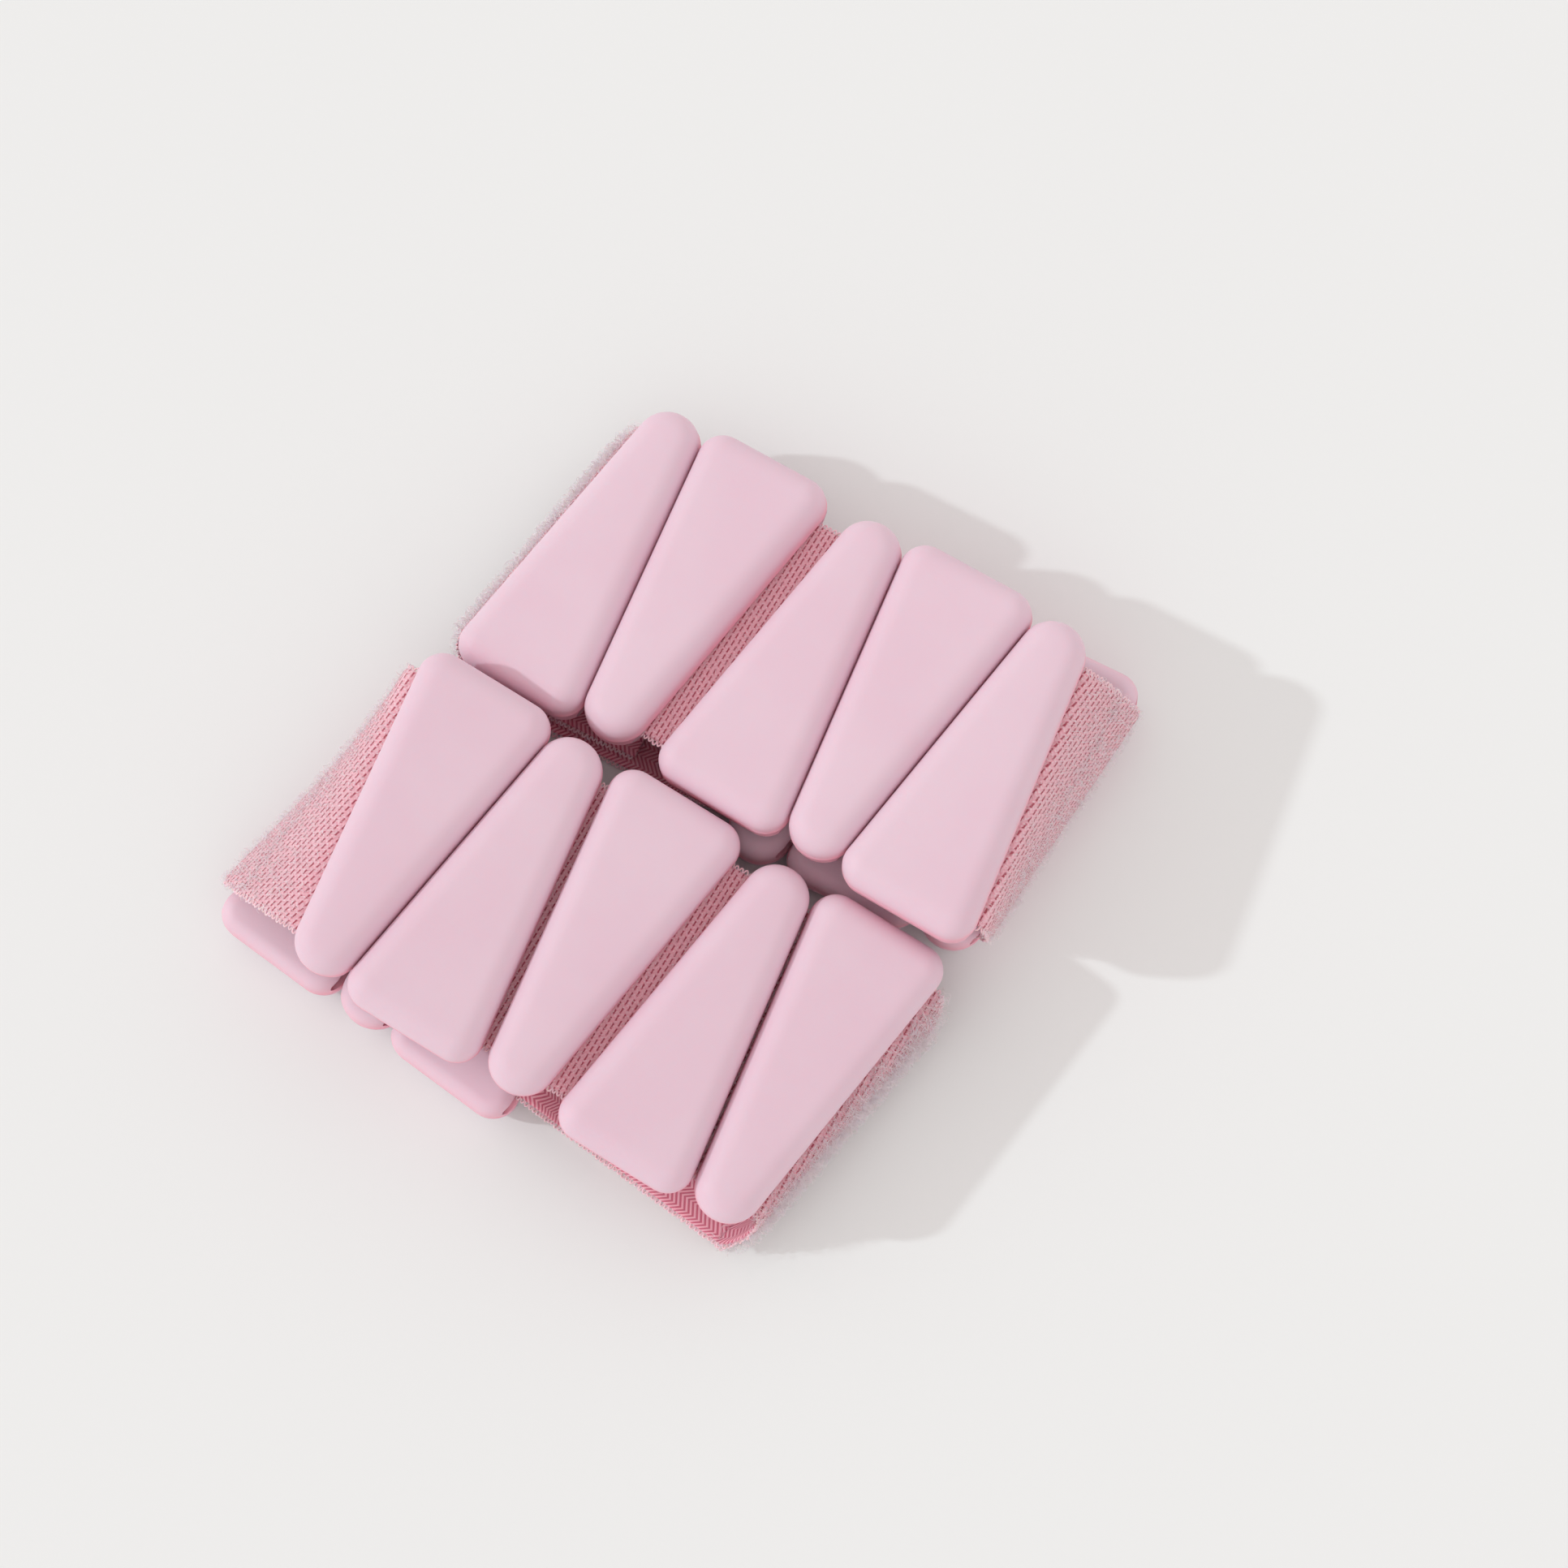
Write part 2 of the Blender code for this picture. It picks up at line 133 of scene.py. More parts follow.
def newGroup(name, inputs, outputs):
    tree = bpy.data.node_groups.new(name, "ShaderNodeTree")
    for label, kind, value in inputs:
        socket = tree.interface.new_socket(label, in_out="INPUT", socket_type=kind)
        if value is not None:
            socket.default_value = value
    for label, kind in outputs:
        tree.interface.new_socket(label, in_out="OUTPUT", socket_type=kind)
    return tree, tree.nodes.new("NodeGroupInput"), tree.nodes.new("NodeGroupOutput")


def mathNode(tree, operation, first, second=None, third=None):
    node = tree.nodes.new("ShaderNodeMath")
    node.operation = operation
    for slot, value in enumerate((first, second, third)):
        if value is None:
            continue
        if isinstance(value, (int, float)):
            node.inputs[slot].default_value = value
        else:
            tree.links.new(value, node.inputs[slot])
    return node.outputs[0]


def rampNode(tree, value, low, high):
    node = tree.nodes.new("ShaderNodeMapRange")
    node.interpolation_type = "SMOOTHSTEP"
    tree.links.new(value, node.inputs["Value"])
    node.inputs["From Min"].default_value = low
    node.inputs["From Max"].default_value = high
    return node.outputs["Result"]


def noiseNode(tree, vector, scale, detail=2.0):
    node = tree.nodes.new("ShaderNodeTexNoise")
    node.inputs["Scale"].default_value = scale
    node.inputs["Detail"].default_value = detail
    tree.links.new(vector, node.inputs["Vector"])
    return node.outputs["Fac"]


def softGrainGroup():                                     # uneven colour and fine grain, used by every finish
    tree, start, end = newGroup("softGrain", [
        ("Vector", "NodeSocketVector", None),
        ("Blotch Scale", "NodeSocketFloat", 60.0),
        ("Grain Scale", "NodeSocketFloat", 3000.0),
    ], [("Blotch", "NodeSocketFloat"), ("Grain", "NodeSocketFloat")])
    for output in ("Blotch", "Grain"):
        noise = tree.nodes.new("ShaderNodeTexNoise")
        noise.inputs["Detail"].default_value = 3.0
        tree.links.new(start.outputs["Vector"], noise.inputs["Vector"])
        tree.links.new(start.outputs[output + " Scale"], noise.inputs["Scale"])
        tree.links.new(noise.outputs["Fac"], end.inputs[output])
    return tree


weave = {                                                 # the knit's pattern, in the weave's own millimetres
    "ribWander": 0.16, "wanderScale": 0.5, "ribEdge": (0.0, 0.36),
    "stagger": 0.43, "drift": 0.5, "driftScale": 0.6,
    "holeWidth": (0.20, 0.07), "holeLength": (0.38, 0.28),
    "chainSlant": 1.5, "chainsPerStitch": 2.0, "chainEdge": (-0.9, 0.9),
    "fleckScale": 2.6, "fleckDetail": 1.0, "fleckEdge": (0.58, 0.66),
    "boneWidth": 5.0, "bonePitch": 1.15, "boneSlope": 4.0, "boneEdge": (-0.7, 0.6),
}


def offMiddle(tree, value):                               # 0 in the middle of each whole step, 0.5 at its ends
    return mathNode(tree, "ABSOLUTE", mathNode(tree, "SUBTRACT", mathNode(tree, "FRACT", value), 0.5))


def knitGroup():                                          # ribs across the strap, stitch holes between them
    tree, start, end = newGroup("ribbedKnit", [
        ("UV", "NodeSocketVector", None),
        ("Rib Pitch", "NodeSocketFloat", 1.3),
        ("Stitch Pitch", "NodeSocketFloat", 2.2),
    ], [("Rib", "NodeSocketFloat"), ("Hole", "NodeSocketFloat"), ("Chain", "NodeSocketFloat"),
        ("Fleck", "NodeSocketFloat"), ("Herringbone", "NodeSocketFloat")])
    uv = start.outputs["UV"]
    split = tree.nodes.new("ShaderNodeSeparateXYZ")
    tree.links.new(uv, split.inputs[0])
    along, across = split.outputs["X"], split.outputs["Y"]
    wander = noiseNode(tree, uv, weave["wanderScale"])
    wander = mathNode(tree, "MULTIPLY_ADD", wander, weave["ribWander"], -weave["ribWander"] / 2)
    ribs = mathNode(tree, "ADD", mathNode(tree, "DIVIDE", along, start.outputs["Rib Pitch"]), wander)
    line = mathNode(tree, "ADD", ribs, 0.5)
    offLine = offMiddle(tree, line)
    stagger = mathNode(tree, "MULTIPLY", mathNode(tree, "FLOOR", line), weave["stagger"])
    stagger = mathNode(tree, "FRACT", stagger)
    drift = mathNode(tree, "MULTIPLY_ADD", noiseNode(tree, uv, weave["driftScale"]), weave["drift"], stagger)
    loops = mathNode(tree, "ADD", mathNode(tree, "DIVIDE", across, start.outputs["Stitch Pitch"]), drift)
    narrow = rampNode(tree, offLine, *weave["holeWidth"])
    short = rampNode(tree, offMiddle(tree, loops), *weave["holeLength"])
    slant = mathNode(tree, "MULTIPLY", loops, weave["chainsPerStitch"])
    slant = mathNode(tree, "MULTIPLY_ADD", offLine, weave["chainSlant"], slant)
    chain = mathNode(tree, "SINE", mathNode(tree, "MULTIPLY", slant, math.tau))
    fleck = noiseNode(tree, uv, weave["fleckScale"], weave["fleckDetail"])
    slope = offMiddle(tree, mathNode(tree, "DIVIDE", across, weave["boneWidth"]))
    lines = mathNode(tree, "DIVIDE", along, weave["bonePitch"])
    lines = mathNode(tree, "MULTIPLY_ADD", slope, weave["boneSlope"], lines)
    wave = mathNode(tree, "SINE", mathNode(tree, "MULTIPLY", lines, math.tau))
    tree.links.new(rampNode(tree, wave, *weave["boneEdge"]), end.inputs["Herringbone"])
    tree.links.new(rampNode(tree, offLine, *weave["ribEdge"]), end.inputs["Rib"])
    tree.links.new(mathNode(tree, "MULTIPLY", narrow, short), end.inputs["Hole"])
    tree.links.new(rampNode(tree, chain, *weave["chainEdge"]), end.inputs["Chain"])
    tree.links.new(rampNode(tree, fleck, *weave["fleckEdge"]), end.inputs["Fleck"])
    return tree


def newMaterial(name):
    material = bpy.data.materials.new(name)
    material.use_nodes = True
    return material, material.node_tree, material.node_tree.nodes["Principled BSDF"]


def placeGroup(tree, group, **values):
    node = tree.nodes.new("ShaderNodeGroup")
    node.node_tree = group
    for label, value in values.items():
        node.inputs[label.replace("_", " ")].default_value = value
    return node


def mixColour(tree, factor, first, second):
    node = tree.nodes.new("ShaderNodeMix")
    node.data_type = "RGBA"
    tree.links.new(factor, node.inputs["Factor"])
    for socket, value in ((node.inputs["A"], first), (node.inputs["B"], second)):
        if isinstance(value, tuple):
            socket.default_value = (*value, 1)
        else:
            tree.links.new(value, socket)
    return node.outputs["Result"]


def bumpNode(tree, height, distance, strength=1.0):
    node = tree.nodes.new("ShaderNodeBump")
    node.inputs["Distance"].default_value = distance
    node.inputs["Strength"].default_value = strength
    tree.links.new(height, node.inputs["Height"])
    return node.outputs["Normal"]


def setSockets(node, values):
    for label, value in values.items():
        node.inputs[label].default_value = value


finishes = {
    "silicone": linear(232, 203, 216),
    "siliconeWarm": linear(231, 199, 213),
    # painted bounce light: the pink that light takes on between the weights, laid on their sides
    "siliconeBounceTint": linear(244, 178, 194),
    # knitDeep, laid in the rib grooves, is painted shade, and knitPale, on the raised stitches, a painted
    # highlight; the yarn finishes also use both as plain uneven tones
    "knit": linear(240, 184, 196),
    "knitDeep": linear(230, 156, 172),
    "knitPale": linear(248, 212, 220),
    # painted shade: the deep red of the stitch holes
    "holeAndShade": linear(168, 46, 70),
    # woven lies on the herringbone's raised lines; the darker pink in its grooves is painted shade
    "woven": linear(244, 180, 194),
    "wovenGrooveShade": linear(206, 104, 128),
    "fleck": linear(254, 242, 246),
    "pile": linear(255, 244, 249),
    "selvedge": linear(248, 206, 214),
    "hook": linear(226, 160, 176),
    "steel": (0.46, 0.46, 0.48),
    "steelDeep": (0.36, 0.36, 0.38),
}
looks = {
    "silicone": {"IOR": 1.41, "Specular IOR Level": 0.35, "Subsurface Weight": 0.35,
                 "Subsurface Radius": (1.0, 0.4, 0.45), "Subsurface Scale": 1.6 * mm},
    "knit": {"Sheen Weight": 0.3, "Sheen Roughness": 0.4, "Subsurface Weight": 0.5,
             "Subsurface Radius": (1.0, 0.45, 0.5), "Subsurface Scale": 0.9 * mm},
    "pile": {"Roughness": 0.4, "Sheen Weight": 0.3, "Subsurface Weight": 0.2, "Subsurface Scale": 0.8 * mm},
    "selvedge": {"Roughness": 0.35, "Sheen Weight": 0.3, "Subsurface Weight": 0.2,
                 "Subsurface Scale": 0.8 * mm},
    "hook": {"Roughness": 0.4, "Sheen Weight": 0.3, "Subsurface Weight": 0.1, "Subsurface Scale": 0.8 * mm},
}


def siliconeMaterial():                                   # matt, a little translucent, with a deeper pink painted part way down its sides as bounce light
    material, tree, shader = newMaterial("matteSilicone")
    coords = tree.nodes.new("ShaderNodeTexCoord")
    grain = placeGroup(tree, softGrain, Blotch_Scale=30.0, Grain_Scale=2600.0)
    tree.links.new(coords.outputs["Object"], grain.inputs["Vector"])
    soft = rampNode(tree, grain.outputs["Blotch"], 0.35, 0.65)
    face = mixColour(tree, soft, finishes["silicone"], finishes["siliconeWarm"])
    # painted bounce light: the "flank" mask lays a deeper pink part way down the sides
    side = tree.nodes.new("ShaderNodeAttribute")
    side.attribute_name = "flank"
    colour = mixColour(tree, side.outputs["Fac"], face, finishes["siliconeBounceTint"])
    rough = mathNode(tree, "MULTIPLY_ADD", grain.outputs["Blotch"], 0.06, 0.50)
    tree.links.new(colour, shader.inputs["Base Color"])
    tree.links.new(rough, shader.inputs["Roughness"])
    tree.links.new(bumpNode(tree, grain.outputs["Grain"], 0.04 * mm, 0.35), shader.inputs["Normal"])
    setSockets(shader, looks["silicone"])
    return material


def partOf(tree, value, share):
    return mathNode(tree, "MULTIPLY", value, share)


def knitMaterial():                                       # ribbed outside, herringbone inside; painted shade in the grooves and stitch holes, painted highlight on the raised stitches
    material, tree, shader = newMaterial("ribbedElastic")
    coords = tree.nodes.new("ShaderNodeUVMap")
    coords.uv_map = "weave"
    knit = placeGroup(tree, ribbedKnit, Rib_Pitch=strap["ribPitch"], Stitch_Pitch=strap["stitchPitch"])
    tree.links.new(coords.outputs["UV"], knit.inputs["UV"])
    grain = placeGroup(tree, softGrain, Blotch_Scale=0.15, Grain_Scale=7.0)
    tree.links.new(coords.outputs["UV"], grain.inputs["Vector"])
    chain, holeAndShade, fleck = knit.outputs["Chain"], knit.outputs["Hole"], knit.outputs["Fleck"]
    # painted shade in the rib grooves, then a painted highlight on the raised stitch chains
    ribbed = mixColour(tree, knit.outputs["Rib"], finishes["knitDeep"], finishes["knit"])
    ribbed = mixColour(tree, partOf(tree, chain, 0.5), ribbed, finishes["knitPale"])
    # painted shade: the stitch holes darkened to a deep red
    ribbed = mixColour(tree, partOf(tree, holeAndShade, 0.85), ribbed, finishes["holeAndShade"])
    ribbed = mixColour(tree, partOf(tree, fleck, 0.5), ribbed, finishes["fleck"])
    # painted shade in the herringbone's grooves
    woven = mixColour(tree, knit.outputs["Herringbone"], finishes["wovenGrooveShade"], finishes["woven"])
    outer = tree.nodes.new("ShaderNodeAttribute")
    outer.attribute_name = "outerSide"
    height = mathNode(tree, "MULTIPLY_ADD", chain, 0.35, knit.outputs["Rib"])
    height = mathNode(tree, "SUBTRACT", height, partOf(tree, holeAndShade, 0.9))
    height = mathNode(tree, "MULTIPLY", height, outer.outputs["Fac"])
    height = mathNode(tree, "ADD", height, partOf(tree, knit.outputs["Herringbone"], 0.6))
    height = mathNode(tree, "MULTIPLY_ADD", grain.outputs["Grain"], 0.4, height)
    rough = mathNode(tree, "MULTIPLY_ADD", grain.outputs["Grain"], 0.25, 0.45)
    tree.links.new(mixColour(tree, outer.outputs["Fac"], woven, ribbed), shader.inputs["Base Color"])
    tree.links.new(bumpNode(tree, height, 0.16 * mm, 0.8), shader.inputs["Normal"])
    tree.links.new(rough, shader.inputs["Roughness"])
    setSockets(shader, looks["knit"])
    return material


def yarnMaterial(name, colour, deep, look):
    material, tree, shader = newMaterial(name)
    coords = tree.nodes.new("ShaderNodeTexCoord")
    grain = placeGroup(tree, softGrain, Blotch_Scale=500.0, Grain_Scale=9000.0)
    tree.links.new(coords.outputs["Object"], grain.inputs["Vector"])
    uneven = rampNode(tree, grain.outputs["Blotch"], 0.3, 0.7)
    tree.links.new(mixColour(tree, uneven, deep, colour), shader.inputs["Base Color"])
    tree.links.new(bumpNode(tree, grain.outputs["Grain"], 0.03 * mm), shader.inputs["Normal"])
    setSockets(shader, look)
    return material


def steelMaterial():                                      # brushed along the plate
    material, tree, shader = newMaterial("cutSteel")
    coords = tree.nodes.new("ShaderNodeTexCoord")
    stretch = tree.nodes.new("ShaderNodeMapping")
    stretch.inputs["Scale"].default_value = (1, 0.04, 1)
    tree.links.new(coords.outputs["Object"], stretch.inputs["Vector"])
    grain = placeGroup(tree, softGrain, Blotch_Scale=90.0, Grain_Scale=6000.0)
    tree.links.new(stretch.outputs["Vector"], grain.inputs["Vector"])
    scratches = grain.outputs["Grain"]
    colour = mixColour(tree, scratches, finishes["steelDeep"], finishes["steel"])
    rough = mathNode(tree, "MULTIPLY_ADD", scratches, 0.25, 0.25)
    tree.links.new(colour, shader.inputs["Base Color"])
    tree.links.new(rough, shader.inputs["Roughness"])
    tree.links.new(bumpNode(tree, scratches, 0.03 * mm, 0.4), shader.inputs["Normal"])
    shader.inputs["Metallic"].default_value = 1.0
    return material


sleeve = {
    "length": 76 * mm, "wideWidth": 33.0 * mm, "narrowWidth": 15.2 * mm,
    "wideCorner": 5.9 * mm, "narrowCorner": 7.5 * mm, "thickness": 14 * mm,
    "outerRound": 5.6 * mm, "innerRound": 4.0 * mm, "crown": 0.12 * mm,
    "partingLine": -0.6 * mm, "partingHalf": 0.3 * mm, "partingHeight": 0.13 * mm,
    "arcStep": math.radians(9), "flankSteps": 8, "rimSteps": 12, "faceSteps": 7,
    "strapLevel": -3.3 * mm, "slotLength": 70 * mm, "slotHeight": 3.0 * mm,
    "mouthFlare": 0.55 * mm, "slotSteps": 8,
    "mouthFrom": ((8 * mm, 1.0), (0.3 * mm, 1.0), (0.0, 0.8),       # out from the flank, share of the flare
                  (-0.35 * mm, 0.35), (-0.8 * mm, 0.1), (-1.3 * mm, 0.0)),
    "coreInset": 2.6 * mm, "cavityThickness": 5.6 * mm, "coreMiddle": 2.2 * mm,
    "pinRadius": 1.2 * mm, "pinSpacing": 36 * mm, "pinSides": 16,
    "spineFromWide": 14 * mm, "spineFromNarrow": 9 * mm, "faceShare": 0.94, "mergeDistance": 0.002 * mm,
    # the level and reach of the painted bounce light on the sleeves' sides
    "bounceTintLevel": -1.5 * mm, "bounceTintReach": 5.5 * mm, "sharpAngle": math.radians(50),
}


def cornerCentre(end):                                    # centre of a round corner, on the +X side of one end
    width, corner = sleeve[end + "Width"], sleeve[end + "Corner"]
    y = sleeve["length"] / 2 - corner
    return width / 2 - corner, y if end == "narrow" else -y


def wedgeTaper():                                         # the flank's angle, and half the width at the middle
    wide = Vector(cornerCentre("wide"))
    run = Vector(cornerCentre("narrow")) - wide
    angle = math.atan2(-run.x, run.y) - math.asin((sleeve["narrowCorner"] - sleeve["wideCorner"]) / run.length)
    half = (wide.x * math.cos(angle) + wide.y * math.sin(angle) + sleeve["wideCorner"]) / math.cos(angle)
    return angle, half


taper, halfWidth = wedgeTaper()


def arcPoints(centre, radius, start, end):
    steps = max(3, math.ceil((end - start) / sleeve["arcStep"]))
    angles = [start + (end - start) * i / steps for i in range(steps + 1)]
    return [Vector((centre[0] + radius * math.cos(a), centre[1] + radius * math.sin(a))) for a in angles]


def wedgeOutline(inset=0.0, flankSteps=sleeve["flankSteps"]):
    wide, tip = cornerCentre("wide"), cornerCentre("narrow")
    wideRadius, tipRadius = sleeve["wideCorner"] - inset, sleeve["narrowCorner"] - inset
    quarter = math.pi / 2
    corners = [arcPoints(wide, wideRadius, -quarter, taper), arcPoints(tip, tipRadius, taper, quarter),
               arcPoints((-tip[0], tip[1]), tipRadius, quarter, math.pi - taper),
               arcPoints((-wide[0], wide[1]), wideRadius, math.pi - taper, 3 * quarter)]
    between = (flankSteps, 1, flankSteps, 4)
    points = []
    for index, corner in enumerate(corners):
        points += corner
        following = corners[(index + 1) % 4][0]
        points += [corner[-1].lerp(following, k / between[index]) for k in range(1, between[index])]
    return points


def sleeveProfile():                                      # how far in and how high each ring of the sleeve lies
    top, bottom = sleeve["thickness"] / 2, -sleeve["thickness"] / 2
    outer, inner = sleeve["outerRound"], sleeve["innerRound"]
    rings = []
    for step in range(sleeve["rimSteps"], -1, -1):        # outer rim, from the face down to the side
        angle = math.pi / 2 * step / sleeve["rimSteps"]
        lift = sleeve["crown"] * math.sin(angle) ** 3
        rings.append((outer * (1 - math.cos(angle)), top - outer + outer * math.sin(angle) - lift))
    line, half = sleeve["partingLine"], sleeve["partingHalf"]
    rings += [(0, line + half), (-sleeve["partingHeight"], line + half / 3),
              (-sleeve["partingHeight"], line - half / 3), (0, line - half)]
    for step in range(sleeve["rimSteps"] + 1):
        angle = math.pi / 2 * step / sleeve["rimSteps"]
        rings.append((inner * (1 - math.cos(angle)), bottom + inner - inner * math.sin(angle)))
    return rings


def loftRings(name, rings):
    vertices = [point for ring in rings for point in ring]
    count = len(rings[0])
    faces = []
    for level in range(len(rings) - 1):
        here, above = level * count, (level + 1) * count
        for i in range(count):
            j = (i + 1) % count
            faces.append((here + i, above + i, above + j, here + j))
    faces.append(tuple(range(count)))
    faces.append(tuple(reversed(range((len(rings) - 1) * count, len(rings) * count))))
    obj = meshObject(name, vertices, faces)
    pointFacesOut(obj, sleeve["mergeDistance"])
    return obj


def sleeveBody():
    rings = []
    faceEdge = wedgeOutline(sleeve["outerRound"])
    spine = (-sleeve["length"] / 2 + sleeve["spineFromWide"], sleeve["length"] / 2 - sleeve["spineFromNarrow"])
    for step in range(sleeve["faceSteps"], 0, -1):        # the crowned outer face, from its middle out
        share = sleeve["faceShare"] * step / sleeve["faceSteps"]
        level = sleeve["thickness"] / 2 - sleeve["crown"] * (1 - share) ** 2
        ring = []
        for point in faceEdge:
            middle = Vector((0, min(max(point.y, spine[0]), spine[1])))
            ring.append((*point.lerp(middle, share), level))
        rings.append(ring)
    for inset, level in sleeveProfile():
        rings.append([(*point, level) for point in wedgeOutline(inset)])
    return loftRings("sleeveBody", rings)


def slotCutter():                                         # the strap's way through, flared at both mouths
    halfLength, halfHeight = sleeve["slotLength"] / 2, sleeve["slotHeight"] / 2
    steps = sleeve["slotSteps"]
    section = []
    for side in (1, -1):                                  # a flat oval in the Y-Z plane
        for step in range(steps + 1):
            angle = side * math.pi / 2 - math.pi * step / steps
            section.append((side * (halfLength - halfHeight), math.cos(angle), math.sin(angle)))
    stations = [(1, *station) for station in sleeve["mouthFrom"]]
    stations += [(-1, *station) for station in reversed(sleeve["mouthFrom"])]
    rings = []
    for side, out, share in stations:
        radius = halfHeight + share * sleeve["mouthFlare"]
        ring = []
        for middle, ahead, up in section:
            y = middle + radius * ahead
            flank = halfWidth - math.tan(taper) * min(max(y, -halfLength), halfLength)
            ring.append((side * (flank + out), y, sleeve["strapLevel"] + radius * up))
        rings.append(ring)
    return loftRings("slotCutter", rings)


def cavityCutter():                                       # room for the steel core
    low = sleeve["coreMiddle"] - sleeve["cavityThickness"] / 2
    rings = [[(*point, level) for point in wedgeOutline(sleeve["coreInset"], 1)]
             for level in (low + sleeve["cavityThickness"], low)]
    return loftRings("cavityCutter", rings)


def pinCutter(side):                                      # a hole that held the core in the mould
    centre, radius = side * sleeve["pinSpacing"] / 2, sleeve["pinRadius"]
    angles = [math.tau * k / sleeve["pinSides"] for k in range(sleeve["pinSides"])]
    rings = [[(radius * math.cos(a), centre + radius * math.sin(a), level) for a in angles]
             for level in (sleeve["coreMiddle"], sleeve["strapLevel"])]
    return loftRings("pinCutter", rings)


def sleeveMesh():
    body = sleeveBody()
    cutters = [slotCutter(), cavityCutter(), pinCutter(-1), pinCutter(1)]
    for cutter in cutters:
        cut = body.modifiers.new(cutter.name, "BOOLEAN")
        cut.operation = "DIFFERENCE"
        cut.solver = "EXACT"
        cut.object = cutter
    mesh = evaluatedMesh(body, "sleeve")
    for obj in [body, *cutters]:
        dropObject(obj)
    mesh.shade_smooth()
    mesh.set_sharp_from_angle(angle=sleeve["sharpAngle"])
    return mesh


def makeSleeves(material):
    mesh = sleeveMesh()
    heights = np.array([v.co.z for v in mesh.vertices])
    share = np.clip(1 - np.abs(heights - sleeve["bounceTintLevel"]) / sleeve["bounceTintReach"], 0, 1)
    flank = mesh.attributes.new("flank", "FLOAT", "POINT")    # painted bounce light: 0 on the two faces, 1 part way down the side
    flank.data.foreach_set("value", (share * share * (3 - 2 * share)).astype(np.float32))
    mesh.materials.clear()
    mesh.materials.append(material)
    for band in bands:
        for number in upperRow + lowerRow:
            data = mesh.copy()
            data.transform(places[band][number])
            obj = bpy.data.objects.new(f"{band}_weightSleeve_{number}", data)
            bpy.context.scene.collection.objects.link(obj)
            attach(obj, bodyWith(f"{band}_core_{number}"))
            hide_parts(f"{band}_sleeve_{number}")
    print("sleeves:", len(mesh.polygons), "faces each")


strap = {
    "width": 63 * mm, "thickness": 1.6 * mm, "edgeThickness": 0.7 * mm, "edgeReach": 1.4 * mm,
    "ribPitch": 1.2, "stitchPitch": 1.95,                 # in the weave's own millimetres
    "ribHeight": 0.16 * mm, "innerRibShare": 0.3, "fineStep": 0.22 * mm, "coarseStep": 0.8 * mm,
    "fineColumns": 127, "coarseColumns": 43, "columnCrowding": 1.15, "curveSlack": 1.35,
    "mouthGap": 0.5 * mm, "seam": 0.1 * mm, "turnReach": 4.0 * mm, "rampReach": 7 * mm,
    "bendReach": {"a": (2.4 * mm, 3.4 * mm), "b": (5.5 * mm, 9.0 * mm)},
    "tailTrim": 3.0 * mm, "tabUnderside": 0.3 * mm, "tabLevel": 1.1 * mm,
    "spanBlend": 3.0 * mm, "tailBlend": (-0.1 * mm, 4.5 * mm), "bendBlend": (0.8 * mm, 5.2 * mm),
    "bendOut": 0.5, "bendUp": 0.85,                       # sets the way handed to blendHere at the bend
}


def rowAxes(band, number):                                # the place of weight 5 or 6 stands for its whole row
    return places[band][5] if number <= 5 else places[band][6]


def inRow(band, number, point):
    return rowAxes(band, number).inverted() @ Vector(point)


def strapMiddle(band, number):                            # the strap's middle line, across the row
    flip = rowAxes(band, number).inverted()
    across = [(flip @ Vector(p)).y for p in nodePoints(f"{band}_strap_{number}")]
    return (min(across) + max(across)) / 2


def flankAt(band, number, side, y):                       # x of a weight's flank at y, in its row's axes
    place = rowAxes(band, number).inverted() @ places[band][number]
    wide = -1 if (place.to_3x3() @ Vector((0, 1, 0))).y > 0 else 1
    return place.translation.x + side * (halfWidth + wide * math.tan(taper) * (y - place.translation.y))


def columnsOf(count):                                     # places across the strap, from edge to edge
    half = strap["width"] / 2
    even = np.linspace(-1, 1, count)
    return half * np.sign(even) * (1 - (1 - np.abs(even)) ** strap["columnCrowding"])


def rowPoint(band, number, x, y):
    return rowAxes(band, number) @ Vector((x, y, sleeve["strapLevel"]))


def straightRows(band, number, startX, endX, columns, step):
    # rows of points along a straight stretch in one row's plane; startX and endX are functions of y
    middle = strapMiddle(band, number)
    flip = 1 if number <= 5 else -1
    ys = [middle + flip * c for c in columns]
    starts = np.array([startX(y) for y in ys])
    ends = np.array([endX(y) for y in ys])
    count = max(2, math.ceil(np.abs(ends - starts).max() / step) + 1)
    rows, run = [], []
    for share in np.linspace(0, 1, count):
        xs = starts + (ends - starts) * share
        rows.append([rowPoint(band, number, x, y) for x, y in zip(xs, ys)])
        run.append(xs / mm)
    return np.array(rows, float), np.array(run)


def curveRows(starts, startWay, ends, endWay, reaches, step, runStart):
    # one cubic curve for each column, from a start row to an end row
    starts, ends = np.array(starts, float), np.array(ends, float)
    firsts = starts + np.outer(reaches, startWay)
    seconds = ends + np.outer(reaches, endWay)
    longest = np.linalg.norm(ends - starts, axis=1).max() * strap["curveSlack"]
    count = math.ceil(longest / step)
    rows = []
    for t in np.linspace(0, 1, count + 1):
        s = 1 - t
        rows.append(s**3 * starts + 3 * s * s * t * firsts + 3 * s * t * t * seconds + t**3 * ends)
    rows = np.array(rows)
    steps = np.linalg.norm(np.diff(rows, axis=0), axis=2) / mm
    run = np.vstack([np.zeros(rows.shape[1]), np.cumsum(steps, axis=0)]) + runStart
    return rows, run


def joinRows(*parts):
    rows = np.concatenate([part[0] if i == 0 else part[0][1:] for i, part in enumerate(parts)])
    run = np.concatenate([part[1] if i == 0 else part[1][1:] for i, part in enumerate(parts)])
    return rows, run


